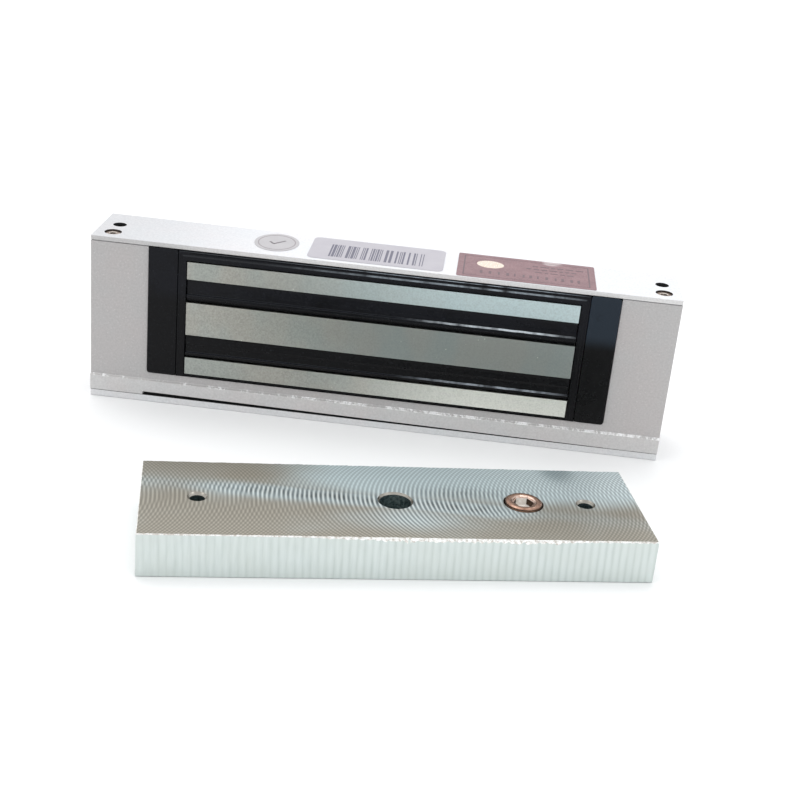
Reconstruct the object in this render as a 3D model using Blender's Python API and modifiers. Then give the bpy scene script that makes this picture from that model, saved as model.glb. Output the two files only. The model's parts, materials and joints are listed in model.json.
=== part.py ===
"""Magnetic door lock set: electromagnet body on its mounting plate, and a steel armature plate.

Frame: origin at the centre of the mounting face, +Z away from that face, X along the lock,
-Y towards the pole faces.  All lengths are in metres.
"""
import math

import bmesh
import bpy
from mathutils import Matrix, Vector

# ---------------------------------------------------------------- driving dimensions
LOCK_LENGTH = 0.266
LOCK_DEPTH = 0.036
LOCK_HEIGHT = 0.078
GAP = 0.0003                      # clearance between neighbouring pieces

ARMATURE_LENGTH = 0.198
ARMATURE_WIDTH = 0.060
ARMATURE_THICKNESS = 0.018
ARMATURE_YAW = math.radians(12.0)  # the plate lies slightly askew in front of the lock
ARMATURE_REST_Y = -0.123           # plate centre at rest
ARMATURE_MATED_X = 0.006           # plate centre along the lock when it is held

# ---------------------------------------------------------------- lock body
FRONT = -LOCK_DEPTH / 2
BACK = LOCK_DEPTH / 2
END = LOCK_LENGTH / 2
BASE_THICKNESS = 0.003
COVER_THICKNESS = 0.002
COVER_UNDER = LOCK_HEIGHT - COVER_THICKNESS
HOUSING_BOTTOM = BASE_THICKNESS + GAP
HOUSING_TOP = COVER_UNDER - GAP
FLOOR_TOP = HOUSING_BOTTOM + 0.004
FRONT_WALL = 0.0025
BACK_WALL = 0.003
END_BOSS = 0.014
CHAMBER_END = END - END_BOSS
FLANGE_PROUD = 0.0012
FLANGE_TOP = 0.0108
WINDOW_HALF = 0.1065
WINDOW_BOTTOM = 0.0144
RELIEF_HALF = 0.108
RELIEF_HEIGHT = 0.001
RELIEF_DEPTH = 0.007
LEDGE = 0.0006                    # half the height of the flange's sloping upper edge
EDGE = 0.0005
WINDOW_CORNER = 0.0015
REACH = 0.010                     # how far a cutter stands clear of the surface it opens
SHEET_PROUD = 0.0006              # how far the mounting plate stands in front of the body
SHEET_SLOT = (0.016, 0.0062)
SHEET_SLOT_CORNER = 0.003
SHEET_SLOT_AT = (0.060, -0.004)
SHEET_SCREWS_X = (-0.100, -0.020, 0.020, 0.090)
SHEET_SCREWS_Y = 0.006
SHEET_SCREW_RADIUS = 0.0026
SHEET_SCREW_SEAT = 0.0050
SHEET_SCREW_SEAT_TOP = 0.0022

# ---------------------------------------------------------------- fixings through the ends
BORE_X = END - 0.008
SCREW_Y = FRONT + 0.0082
SPARE_Y = FRONT + 0.0198
SPARE_DIAMETER = 0.0062
SHANK_DIAMETER = 0.0039
SHANK_BORE = 0.0048
HEAD_DIAMETER = 0.0070
HEAD_HEIGHT = 0.0052
HEAD_HEX = 0.0030
CUP_BORE = 0.0078
CUP_WALL = 0.0010
CUP_FLOOR_TOP = 0.0720
CUP_FLOOR = 0.0012
SCREW_TIP = 0.0012
SCREW_CHAMFER = 0.0004
SOCKET_DEPTH = 0.0024
NUT_TOP = 0.0088
NUT_RADIUS = 0.0031
NUT_COLLAR = 0.0038
NUT_COLLAR_TOP = 0.0048

# ---------------------------------------------------------------- magnet core and its mouldings
POLE_FACE = FRONT - 0.0013
MOULDING_FACE = FRONT - 0.0010
CORE_HALF = 0.0885
OUTER_LEG = 0.0083
CENTRE_LEG = 0.0158
SLOT = 0.0110
CORE_HEIGHT = 2 * OUTER_LEG + 2 * SLOT + CENTRE_LEG
CORE_MID = 0.0436
CORE_BOTTOM = CORE_MID - CORE_HEIGHT / 2
CORE_TOP = CORE_MID + CORE_HEIGHT / 2
LEG_END = 0.0030
CORE_BACK = 0.0113
FRAME_HALF = 0.0925
MOULDING_BOTTOM = WINDOW_BOTTOM + GAP
MOULDING_TOP = HOUSING_TOP
MOULDING_DEPTH = 0.0042
MOULDING_CORNER = 0.0004
END_BLOCK_CORNER = 0.0014
STRIP_RECESS = 0.0009             # the slot strips' flat parts lie this far behind the pole faces
STRIP_DEPTH = 0.0032
RIB_TOPS = {"upper": -0.0019, "lower": -0.0033}  # the ribs' upper edges, from the strips' middles
RIB_HEIGHT = 0.0012
RIB_SLOPE = 0.0004
RIB_FOOT = 0.0002                 # each rib slopes back to this height above its strip's lower edge
BOBBIN_WALL = 0.0012
BOBBIN_FRONT = -0.0130
BOBBIN_BACK = 0.0024
BOBBIN_CORNER = 0.006
TUBE_CORNER = 0.001
WINDING_SHORTFALL = 0.0008        # the wire stops this far short of the flanges' outer edges
WINDING_CORNER = 0.0055
LEAD_RADIUS = 0.0006
POTTING_HALF = 0.105
FILLER_DROP = 0.004

# ---------------------------------------------------------------- wiring chamber (right end)
CHAMBER_START = 0.1066
CHAMBER_MID = (CHAMBER_START + CHAMBER_END) / 2
BOARD_UNDER = 0.0580
BOARD_THICKNESS = 0.0016
BOARD_TOP = BOARD_UNDER + BOARD_THICKNESS
DUCT_Y = 0.0080
DUCT_RADIUS = 0.0036
BOARD_HOLE_RADIUS = 0.0030
CABLE_HOLE_RADIUS = 0.0048
CARRIER_STEP_TOP = 0.0098
TERMINAL_Y = -0.0015
TERMINAL_PITCH = 0.0035
TERMINAL_HALF = (0.0054, 0.0037)
TERMINAL_HEIGHT = 0.0085
TERMINAL_BOTTOM = BOARD_TOP + GAP
TERMINAL_TOP = TERMINAL_BOTTOM + TERMINAL_HEIGHT
WELL_Y = TERMINAL_Y - 0.0008
WELL_RADIUS = 0.0014
WELL_DEPTH = 0.0040
ENTRY_HALF = 0.0012
ENTRY_DEPTH = 0.0027
ENTRY_HEIGHT = (0.0010, 0.0034)   # above the terminal block's underside
CLAMP_RADIUS = 0.0011
CLAMP_TOP = TERMINAL_TOP - 0.0008
CLAMP_LENGTH = 0.0028
CLAMP_SLOT_HALF = 0.00025
CLAMP_SLOT_DEPTH = 0.0006
VARISTOR_SIZE = 0.0070
VARISTOR_CORNER = 0.0034
VARISTOR_THICKNESS = 0.0026
VARISTOR_AT = (CHAMBER_MID + 0.001, -0.0130, TERMINAL_BOTTOM + 0.0046)
DIODE_RADIUS = 0.0012
DIODE_LENGTH = 0.0055
DIODE_CHAMFER = 0.0002
DIODE_AT = (CHAMBER_MID - 0.0045, -0.0113)
JUMPER_LOW = (CHAMBER_MID - 0.0010, -0.0100)
JUMPER_HIGH = (CHAMBER_MID + 0.0040, -0.0076)
JUMPER_HEIGHT = 0.006
GROMMET_BORE = 0.00275
GROMMET_NECK = 0.0045
GROMMET_LIP = 0.0052
GROMMET_LIP_TOP = 0.0092
GROMMET_FLANGE = 0.0058
GROMMET_BOTTOM = 0.0008
GROMMET_CHAMFER = 0.0002
PLATE_CABLE_RADIUS = 0.0062

# ---------------------------------------------------------------- stickers on the cover
STICKER_LIFT = 0.00005
STICKER_THICKNESS = 0.00012
OVAL_HALF = (0.0102, 0.0130)
OVAL_AT = (-0.0516, 0.0010)
BARCODE_SIZE = (0.0615, 0.0310)
BARCODE_CORNER = 0.0035
BARCODE_AT = (-0.0050, 0.0005)
SEAL_SIZE = (0.0627, 0.0335)
SEAL_CORNER = 0.0010
SEAL_AT = (0.0632, -0.0003)

# ---------------------------------------------------------------- armature plate
CENTRE_HOLE = 0.0086
CENTRE_COUNTERBORE = 0.0126
CENTRE_CHAMFER = 0.0008
PLATE_EDGE = 0.0004
PIN_HOLE = 0.0060
PIN_HOLE_X = 0.077
PIN_SEAT_RISE = 0.0010            # depth of the pin holes' countersink
PIN_SEAT_SPREAD = 0.0010          # and how far it opens at the contact face
EJECTOR_X = 0.0515
BUTTON_DIAMETER = 0.0150
BUTTON_HEIGHT = 0.0080
BUTTON_PROUD = 0.0010              # how far the button stands out of the contact face
BUTTON_RIM = 0.0026                # width of the raised ring round the button's face
BUTTON_STEP = 0.0006
BUTTON_RECESS = 0.0004
BUTTON_CHAMFER = 0.0008
BUTTON_HEX = 0.0066
BUTTON_HEX_DEPTH = 0.0045
WEB_BOTTOM = 0.0040                # the web under the button that its stem passes through
WEB_TOP = 0.0070
STEM_RADIUS = 0.0025
STEM_END = 0.0018
GROOVE_RADIUS = 0.0020
CLIP_TOP = 0.0036
CLIP_THICKNESS = 0.0010
CLIP_RADIUS = 0.0044
CLIP_MOUTH_HALF = 0.0016
CLIP_POCKET_RADIUS = 0.0055
SPRING_RADIUS = 0.0045
SPRING_WIRE = 0.0004
SPRING_TURNS = 3
SPRING_STEPS = 14

ROUND = 32


def clear_scene():
    for thing in list(bpy.data.objects):
        bpy.data.objects.remove(thing, do_unlink=True)


def new_collection(name):
    group = bpy.data.collections.new(name)
    bpy.context.scene.collection.children.link(group)
    return group


def material(name, colour, roughness, metallic=0.0):
    made = bpy.data.materials.new(name)
    made.use_nodes = True
    shader = made.node_tree.nodes["Principled BSDF"]
    shader.inputs["Base Color"].default_value = (*colour, 1.0)
    shader.inputs["Roughness"].default_value = roughness
    shader.inputs["Metallic"].default_value = metallic
    return made


def adopt(thing, name, group, paint=None):
    """Name an object, move it to one collection and give it its material."""
    thing.name = name
    thing.data.name = name
    for owner in list(thing.users_collection):
        owner.objects.unlink(thing)
    group.objects.link(thing)
    if paint is not None:
        thing.data.materials.append(paint)
    return thing


def box(name, low, high):
    """A box between two corners, with its origin at its centre."""
    low, high = Vector(low), Vector(high)
    bpy.ops.mesh.primitive_cube_add(size=1.0, location=(low + high) / 2)
    thing = bpy.context.object
    thing.name = name
    thing.data.transform(Matrix.Diagonal((*(high - low), 1.0)))
    return thing


def cylinder(name, radius, low, high, x=0.0, y=0.0, sides=ROUND):
    """An upright cylinder or prism between two heights."""
    bpy.ops.mesh.primitive_cylinder_add(
        vertices=sides, radius=radius, depth=high - low, location=(x, y, (low + high) / 2))
    thing = bpy.context.object
    thing.name = name
    return thing


def rounded_rectangle(width, height, radius, steps=4):
    """Points of a rectangle with round corners, anticlockwise round the origin."""
    points = []
    for quarter, (sx, sy) in enumerate(((1, 1), (-1, 1), (-1, -1), (1, -1))):
        centre = Vector((sx * (width / 2 - radius), sy * (height / 2 - radius)))
        for step in range(steps + 1):
            angle = math.pi / 2 * (quarter + step / steps)
            points.append(centre + radius * Vector((math.cos(angle), math.sin(angle))))
    return points


def extrude_outlines(name, outlines, thickness, location=(0, 0, 0), rotation=(0, 0, 0)):
    """A flat shape with holes, thickened both ways from its plane, as a welded mesh."""
    curve = bpy.data.curves.new(name, "CURVE")
    curve.dimensions = "2D"
    curve.fill_mode = "BOTH"
    curve.extrude = thickness / 2
    for outline in outlines:
        spline = curve.splines.new("POLY")
        spline.points.add(len(outline) - 1)
        spline.use_cyclic_u = True
        for point, (x, y) in zip(spline.points, outline):
            point.co = (x, y, 0, 1)
    holder = bpy.data.objects.new(name, curve)
    return curve_to_mesh(holder, name, location, rotation)


def curve_to_mesh(holder, name, location=(0, 0, 0), rotation=(0, 0, 0)):
    """Turn a curve object into a closed mesh object and remove the curve."""
    bpy.context.scene.collection.objects.link(holder)
    graph = bpy.context.evaluated_depsgraph_get()
    mesh = bpy.data.meshes.new_from_object(holder.evaluated_get(graph))
    bpy.data.objects.remove(holder, do_unlink=True)
    weld = bmesh.new()
    weld.from_mesh(mesh)
    bmesh.ops.remove_doubles(weld, verts=weld.verts, dist=1e-6)
    bmesh.ops.dissolve_limit(weld, angle_limit=math.radians(0.5), verts=weld.verts, edges=weld.edges)
    weld.to_mesh(mesh)
    weld.free()
    thing = bpy.data.objects.new(name, mesh)
    thing.location = location
    thing.rotation_euler = rotation
    bpy.context.scene.collection.objects.link(thing)
    return thing


# A shape drawn in (y, z) and thickened along X, and one drawn in (x, z) and thickened along Y.
ALONG_X = (math.pi / 2, 0, math.pi / 2)
ALONG_Y = (math.pi / 2, 0, 0)


def turned(name, profile, x=0.0, y=0.0, sides=ROUND):
    """A solid of revolution about an upright axis: (radius, height) points from top to bottom."""
    mesh = bpy.data.meshes.new(name)
    edges = [(i, i + 1) for i in range(len(profile) - 1)]
    mesh.from_pydata([(radius, 0, height) for radius, height in profile], edges, [])
    thing = bpy.data.objects.new(name, mesh)
    thing.location = (x, y, 0)
    bpy.context.scene.collection.objects.link(thing)
    screw = thing.modifiers.new("turn", "SCREW")
    screw.steps = sides
    screw.render_steps = sides
    screw.use_merge_vertices = True
    screw.merge_threshold = 0.00001
    return thing


def ring(name, profile, x=0.0, y=0.0, sides=ROUND):
    """A turned solid with a bore: its profile closes on itself."""
    return turned(name, profile + profile[:1], x, y, sides)


def round_edges(thing, width=EDGE, segments=2):
    bevel = thing.modifiers.new("edges", "BEVEL")
    bevel.width = width
    bevel.segments = segments
    bevel.limit_method = "ANGLE"
    bevel.angle_limit = math.radians(40)


def boolean(thing, other, operation):
    modifier = thing.modifiers.new(other.name, "BOOLEAN")
    modifier.operation = operation
    modifier.solver = "EXACT"
    modifier.object = other
    return thing


def cut(thing, cutter):
    """Take the cutter's shape out of the piece; the cutter joins the cutters' collection."""
    adopt(cutter, cutter.name, CUTTERS)
    cutter.hide_render = True
    cutter.display_type = "WIRE"
    return boolean(thing, cutter, "DIFFERENCE")


def join(thing, addition):
    """Add a shape to the piece; the added shape is kept with the cutters."""
    adopt(addition, addition.name, CUTTERS)
    addition.hide_render = True
    addition.display_type = "WIRE"
    return boolean(thing, addition, "UNION")


def tube_along(name, points, radius):
    """A wire through the given points, smoothed, with closed ends."""
    curve = bpy.data.curves.new(name, "CURVE")
    curve.dimensions = "3D"
    curve.fill_mode = "FULL"
    curve.bevel_depth = radius
    curve.bevel_resolution = 2
    curve.use_fill_caps = True
    spline = curve.splines.new("POLY")
    spline.points.add(len(points) - 1)
    for point, place in zip(spline.points, points):
        point.co = (*place, 1)
    return bpy.data.objects.new(name, curve)


def smooth_route(corners, steps=5):
    """Points on a Catmull-Rom curve through the corners."""
    corners = [Vector(corner) for corner in corners]
    padded = [corners[0] * 2 - corners[1], *corners, corners[-1] * 2 - corners[-2]]
    route = []
    for a, b, c, d in zip(padded, padded[1:], padded[2:], padded[3:]):
        for step in range(steps):
            t = step / steps
            route.append(0.5 * (2 * b + (c - a) * t + (2 * a - 5 * b + 4 * c - d) * t * t
                                + (3 * b - a - 3 * c + d) * t ** 3))
    return route + [corners[-1]]


def finish(thing, name, paint):
    """Put a finished piece in the part's collection."""
    for face in thing.data.polygons:
        face.use_smooth = True
    if hasattr(thing.data, "set_sharp_from_angle"):
        thing.data.set_sharp_from_angle(angle=math.radians(35))
    return adopt(thing, name, PART, paint)


# ================================================================ housing, cover and base
def make_housing():
    profile = [
        (BACK, HOUSING_BOTTOM), (BACK, HOUSING_TOP), (FRONT, HOUSING_TOP),
        (FRONT, FLANGE_TOP + LEDGE), (FRONT - FLANGE_PROUD, FLANGE_TOP - LEDGE),
        (FRONT - FLANGE_PROUD, HOUSING_BOTTOM),
    ]
    housing = extrude_outlines("housing_bar", [profile], LOCK_LENGTH, rotation=ALONG_X)
    round_edges(housing)
    above = LOCK_HEIGHT + REACH
    cut(housing, box("housing_cavity", (-CHAMBER_END, FRONT + FRONT_WALL, FLOOR_TOP),
                     (CHAMBER_END, BACK - BACK_WALL, above)))
    window_height = above - WINDOW_BOTTOM
    window = extrude_outlines(
        "housing_window", [rounded_rectangle(2 * WINDOW_HALF, window_height, WINDOW_CORNER)], REACH,
        location=(0, FRONT, WINDOW_BOTTOM + window_height / 2), rotation=ALONG_Y)
    cut(housing, window)
    cut(housing, box("housing_relief", (-RELIEF_HALF, FRONT - REACH, 0),
                     (RELIEF_HALF, FRONT + RELIEF_DEPTH, HOUSING_BOTTOM + RELIEF_HEIGHT)))
    cup_radius = CUP_BORE / 2 + CUP_WALL + GAP
    cup_bottom = CUP_FLOOR_TOP - CUP_FLOOR - GAP
    nut_radius = NUT_COLLAR + GAP
    shank = SHANK_BORE / 2
    stepped = [(0, above), (cup_radius, above), (cup_radius, cup_bottom), (shank, cup_bottom),
               (shank, NUT_TOP + GAP), (nut_radius, NUT_TOP + GAP), (nut_radius, 0), (0, 0)]
    for side, x in (("left", -BORE_X), ("right", BORE_X)):
        cut(housing, turned(f"housing_screw_bore_{side}", stepped, x, SCREW_Y))
        cut(housing, cylinder(f"housing_spare_bore_{side}", SPARE_DIAMETER / 2, 0, above, x, SPARE_Y))
    cut(housing, cylinder("housing_cable_hole", CABLE_HOLE_RADIUS, 0, REACH, CHAMBER_MID, DUCT_Y))
    return finish(housing, "housing", material("silver_housing", (0.62, 0.61, 0.61), 0.42, 0.6))


def make_top_cover():
    cover = box("cover_sheet", (-END, FRONT, COVER_UNDER), (END, BACK, LOCK_HEIGHT))
    round_edges(cover)
    for side, x in (("left", -BORE_X), ("right", BORE_X)):
        join(cover, cylinder(f"cover_cup_{side}", CUP_BORE / 2 + CUP_WALL,
                             CUP_FLOOR_TOP - CUP_FLOOR, LOCK_HEIGHT - COVER_THICKNESS / 2, x, SCREW_Y))
        above, below = LOCK_HEIGHT + REACH, CUP_FLOOR_TOP - REACH
        stepped = [(0, above), (CUP_BORE / 2, above), (CUP_BORE / 2, CUP_FLOOR_TOP),
                   (SHANK_BORE / 2, CUP_FLOOR_TOP), (SHANK_BORE / 2, below), (0, below)]
        cut(cover, turned(f"cover_cup_bore_{side}", stepped, x, SCREW_Y))
        cut(cover, cylinder(f"cover_spare_hole_{side}", SPARE_DIAMETER / 2, below, above, x, SPARE_Y))
    return finish(cover, "top_cover", material("silver_cover", (0.80, 0.80, 0.80), 0.38, 0.6))


def make_mounting_plate():
    plate = box("plate_sheet", (-END, FRONT - SHEET_PROUD, 0), (END, BACK, BASE_THICKNESS))
    round_edges(plate, PLATE_EDGE)
    slot = rounded_rectangle(*SHEET_SLOT, SHEET_SLOT_CORNER, 6)
    slot_x, slot_y = SHEET_SLOT_AT
    for side, x in (("left", -slot_x), ("right", slot_x)):
        cut(plate, extrude_outlines(f"plate_slot_{side}", [slot], REACH, (x, slot_y, 0)))
    countersunk = [(0, REACH), (SHEET_SCREW_RADIUS, REACH), (SHEET_SCREW_RADIUS, SHEET_SCREW_SEAT_TOP),
                   (SHEET_SCREW_SEAT, -0.0002), (SHEET_SCREW_SEAT, -REACH), (0, -REACH)]
    for number, x in enumerate(SHEET_SCREWS_X):
        cut(plate, turned(f"plate_screw_hole_{number}", countersunk, x, SHEET_SCREWS_Y))
    for side, x in (("left", -BORE_X), ("right", BORE_X)):
        cut(plate, cylinder(f"plate_nut_hole_{side}", NUT_RADIUS + GAP, -REACH, REACH, x, SCREW_Y))
        cut(plate, cylinder(f"plate_spare_hole_{side}", SPARE_DIAMETER / 2, -REACH, REACH, x, SPARE_Y))
    cut(plate, cylinder("plate_cable_hole", PLATE_CABLE_RADIUS, -REACH, REACH, CHAMBER_MID, DUCT_Y))
    return finish(plate, "mounting_plate", material("plate_steel", (0.66, 0.66, 0.66), 0.4, 0.7))


def make_fixings():
    head_under = CUP_FLOOR_TOP + GAP
    head_top = head_under + HEAD_HEIGHT
    head, shank, chamfer, tip = HEAD_DIAMETER / 2, SHANK_DIAMETER / 2, SCREW_CHAMFER, SCREW_TIP
    screw_profile = [(0, head_top), (head - chamfer, head_top), (head, head_top - chamfer),
                     (head, head_under), (shank, head_under), (shank, tip + chamfer),
                     (shank - chamfer, tip), (0, tip)]
    nut_profile = [(shank + GAP, NUT_TOP), (NUT_RADIUS, NUT_TOP), (NUT_RADIUS, NUT_COLLAR_TOP),
                   (NUT_COLLAR, NUT_COLLAR_TOP), (NUT_COLLAR, HOUSING_BOTTOM), (NUT_RADIUS, HOUSING_BOTTOM),
                   (NUT_RADIUS, GAP), (shank + GAP, GAP)]
    for side, x in (("left", -BORE_X), ("right", BORE_X)):
        screw = turned(f"screw_blank_{side}", screw_profile, x, SCREW_Y, 24)
        hex_radius = HEAD_HEX / 2 / math.cos(math.pi / 6)
        cut(screw, cylinder(f"screw_socket_{side}", hex_radius, head_top - SOCKET_DEPTH, head_top + REACH,
                            x, SCREW_Y, 6))
        finish(screw, f"body_screw_{side}", material("screw_steel", (0.55, 0.50, 0.45), 0.3, 1.0))
        nut = ring(f"nut_blank_{side}", nut_profile, x, SCREW_Y, 24)
        finish(nut, f"rivet_nut_{side}", material("nut_steel", (0.62, 0.62, 0.60), 0.35, 1.0))


# ================================================================ magnet
def make_core():
    lower_slot = CORE_BOTTOM + OUTER_LEG
    upper_slot = CORE_TOP - OUTER_LEG
    profile = [
        (CORE_BACK, CORE_BOTTOM), (CORE_BACK, CORE_TOP), (POLE_FACE, CORE_TOP),
        (POLE_FACE, upper_slot), (LEG_END, upper_slot), (LEG_END, upper_slot - SLOT),
        (POLE_FACE, upper_slot - SLOT), (POLE_FACE, lower_slot + SLOT), (LEG_END, lower_slot + SLOT),
        (LEG_END, lower_slot), (POLE_FACE, lower_slot), (POLE_FACE, CORE_BOTTOM),
    ]
    core = extrude_outlines("core_stack", [profile], 2 * CORE_HALF, rotation=ALONG_X)
    return finish(core, "laminated_core", material("silicon_steel", (0.45, 0.46, 0.45), 0.35, 1.0))


def make_coil():
    inner = (2 * (CORE_HALF + GAP), CENTRE_LEG + 2 * GAP)
    tube = [side + 2 * BOBBIN_WALL for side in inner]
    flange = (2 * (CORE_HALF + SLOT - GAP), CENTRE_LEG + 2 * (SLOT - GAP))
    depth = BOBBIN_BACK - BOBBIN_FRONT
    middle = (0, (BOBBIN_FRONT + BOBBIN_BACK) / 2, CORE_MID)
    bobbin = extrude_outlines("bobbin_block", [rounded_rectangle(*flange, BOBBIN_CORNER),
                              rounded_rectangle(*inner, 0.0002, 1)], depth, middle, ALONG_Y)
    beyond = rounded_rectangle(flange[0] + REACH, flange[1] + REACH, BOBBIN_CORNER / 2)
    groove = extrude_outlines("bobbin_groove", [beyond, rounded_rectangle(*tube, TUBE_CORNER, 2)],
                              depth - 2 * BOBBIN_WALL, middle, ALONG_Y)
    cut(bobbin, groove)
    finish(bobbin, "coil_bobbin", material("bobbin_nylon", (0.75, 0.72, 0.62), 0.5))
    outer = [side - WINDING_SHORTFALL for side in flange]
    bore = [side + 2 * GAP for side in tube]
    winding = extrude_outlines("winding_ring", [rounded_rectangle(*outer, WINDING_CORNER),
                               rounded_rectangle(*bore, TUBE_CORNER, 2)], depth - 2 * BOBBIN_WALL - 2 * GAP,
                               middle, ALONG_Y)
    finish(winding, "coil_winding", material("enamelled_copper", (0.55, 0.22, 0.08), 0.35, 1.0))


def make_slot_covers():
    """Black strips that close the two slots, each with a rib along its lower part."""
    half = SLOT / 2 - GAP
    face = POLE_FACE + STRIP_RECESS
    back = FRONT + STRIP_DEPTH
    height = (CENTRE_LEG + SLOT) / 2
    for side, z in (("upper", CORE_MID + height), ("lower", CORE_MID - height)):
        rib = RIB_TOPS[side]
        profile = [(back, -half), (back, half), (face, half), (face, rib + RIB_SLOPE), (MOULDING_FACE, rib),
                   (MOULDING_FACE, rib - RIB_HEIGHT), (face, RIB_FOOT - half), (face, -half)]
        cover = extrude_outlines(f"slot_strip_{side}", [profile], 2 * CORE_HALF, (0, 0, z), ALONG_X)
        finish(cover, f"slot_cover_{side}", material("black_moulding", (0.015, 0.016, 0.02), 0.3))


def make_mouldings():
    """The black rim round the poles and the two blocks that close the window's ends."""
    height = MOULDING_TOP - MOULDING_BOTTOM
    middle_z = (MOULDING_TOP + MOULDING_BOTTOM) / 2
    middle_y = MOULDING_FACE + MOULDING_DEPTH / 2
    opening_low = CORE_BOTTOM - GAP - middle_z
    opening_high = CORE_TOP + GAP - middle_z
    opening_x = CORE_HALF + GAP
    outline = rounded_rectangle(2 * FRAME_HALF, height, MOULDING_CORNER, 1)
    opening = [(opening_x, opening_low), (opening_x, opening_high),
               (-opening_x, opening_high), (-opening_x, opening_low)]
    frame = extrude_outlines("frame_sheet", [outline, opening], MOULDING_DEPTH,
                             (0, middle_y, middle_z), ALONG_Y)
    finish(frame, "face_frame", material("black_rim", (0.012, 0.013, 0.017), 0.25))
    low_x, high_x = FRAME_HALF + GAP, WINDOW_HALF - GAP
    for side, direction in (("left", -1), ("right", 1)):
        block = extrude_outlines(
            f"end_block_sheet_{side}", [rounded_rectangle(high_x - low_x, height, END_BLOCK_CORNER)],
            MOULDING_DEPTH, (direction * (low_x + high_x) / 2, middle_y, middle_z), ALONG_Y)
        round_edges(block, 0.0003)
        finish(block, f"end_block_{side}", material("black_end", (0.012, 0.013, 0.018), 0.2))


def make_potting():
    """Cast resin behind, under and over the core, and the filled chamber at the left end."""
    inside_back = BACK - BACK_WALL - GAP
    inside_front = FRONT + MOULDING_DEPTH + GAP
    low, high = FLOOR_TOP + GAP, HOUSING_TOP - GAP
    profile = [
        (inside_back, low), (inside_back, high), (inside_front, high), (inside_front, CORE_TOP + GAP),
        (CORE_BACK + GAP, CORE_TOP + GAP), (CORE_BACK + GAP, CORE_BOTTOM - GAP),
        (inside_front, CORE_BOTTOM - GAP), (inside_front, low),
    ]
    potting = extrude_outlines("potting_channel", [profile], 2 * POTTING_HALF, rotation=ALONG_X)
    finish(potting, "potting_block", material("black_resin", (0.02, 0.02, 0.022), 0.45))
    filler = box("filler", (GAP - CHAMBER_END, FRONT + FRONT_WALL + GAP, low),
                 (-CHAMBER_START, inside_back, high - FILLER_DROP))
    round_edges(filler, 0.0008, 1)
    finish(filler, "filler_block_left", material("filler_resin", (0.02, 0.02, 0.022), 0.5))


# ================================================================ wiring chamber
def make_wiring_chamber():
    front, back = FRONT + FRONT_WALL + GAP, BACK - BACK_WALL - GAP
    right = CHAMBER_END - GAP
    carrier = box("carrier_body", (CHAMBER_START, front, FLOOR_TOP + GAP), (right, back, BOARD_UNDER - GAP))
    cut(carrier, cylinder("carrier_duct", DUCT_RADIUS, 0, BOARD_TOP, CHAMBER_MID, DUCT_Y))
    cut(carrier, box("carrier_step", (CHAMBER_START - REACH, 0, 0),
                     (right + REACH, back + REACH, CARRIER_STEP_TOP)))
    finish(carrier, "board_carrier", material("carrier_plastic", (0.85, 0.84, 0.80), 0.5))

    board = box("board_sheet", (CHAMBER_START, front, BOARD_UNDER), (right, back, BOARD_TOP))
    cut(board, cylinder("board_cable_hole", BOARD_HOLE_RADIUS, BOARD_UNDER - REACH, BOARD_TOP + REACH,
                        CHAMBER_MID, DUCT_Y))
    finish(board, "control_board", material("board_green", (0.02, 0.18, 0.07), 0.4))

    base, top = TERMINAL_BOTTOM, TERMINAL_TOP
    half_x, half_y = TERMINAL_HALF
    entry_low, entry_high = (base + height for height in ENTRY_HEIGHT)
    clamp_low = CLAMP_TOP - CLAMP_LENGTH
    block = box("terminal_body", (CHAMBER_MID - half_x, TERMINAL_Y - half_y, base),
                (CHAMBER_MID + half_x, TERMINAL_Y + half_y, top))
    for number in range(3):
        x = CHAMBER_MID + (number - 1) * TERMINAL_PITCH
        cut(block, cylinder(f"terminal_well_{number + 1}", WELL_RADIUS, top - WELL_DEPTH, top + REACH,
                            x, WELL_Y, 16))
        cut(block, box(f"terminal_entry_{number + 1}",
                       (x - ENTRY_HALF, TERMINAL_Y + half_y - ENTRY_DEPTH, entry_low),
                       (x + ENTRY_HALF, TERMINAL_Y + REACH, entry_high)))
        screw = turned(f"terminal_screw_blank_{number + 1}",
                       [(0, CLAMP_TOP), (CLAMP_RADIUS, CLAMP_TOP), (CLAMP_RADIUS, clamp_low),
                        (0, clamp_low)], x, WELL_Y, 16)
        cut(screw, box(f"terminal_screw_slot_{number + 1}",
                       (x - 2 * CLAMP_RADIUS, WELL_Y - CLAMP_SLOT_HALF, CLAMP_TOP - CLAMP_SLOT_DEPTH),
                       (x + 2 * CLAMP_RADIUS, WELL_Y + CLAMP_SLOT_HALF, top)))
        finish(screw, f"terminal_screw_{number + 1}", material("terminal_steel", (0.7, 0.7, 0.68), 0.3, 1.0))
    finish(block, "terminal_block", material("terminal_green", (0.03, 0.30, 0.12), 0.45))

    disc = extrude_outlines(
        "varistor_disc", [rounded_rectangle(VARISTOR_SIZE, VARISTOR_SIZE, VARISTOR_CORNER, 5)],
        VARISTOR_THICKNESS, VARISTOR_AT, ALONG_Y)
    round_edges(disc, 0.0006)
    finish(disc, "varistor", material("varistor_blue", (0.05, 0.16, 0.45), 0.4))

    radius, length, chamfer = DIODE_RADIUS, DIODE_LENGTH, DIODE_CHAMFER
    diode = turned("diode_body", [
        (0, length), (radius - chamfer, length), (radius, length - chamfer), (radius, chamfer),
        (radius - chamfer, 0), (0, 0)], sides=16)
    diode.location = (*DIODE_AT, base + radius)
    diode.rotation_euler = (-math.pi / 2, 0, 0)
    finish(diode, "flyback_diode", material("diode_black", (0.03, 0.03, 0.03), 0.35))

    jumper = box("jumper_cap", (*JUMPER_LOW, base), (*JUMPER_HIGH, base + JUMPER_HEIGHT))
    round_edges(jumper, 0.0003, 1)
    finish(jumper, "voltage_jumper", material("jumper_red", (0.55, 0.03, 0.03), 0.4))


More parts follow.
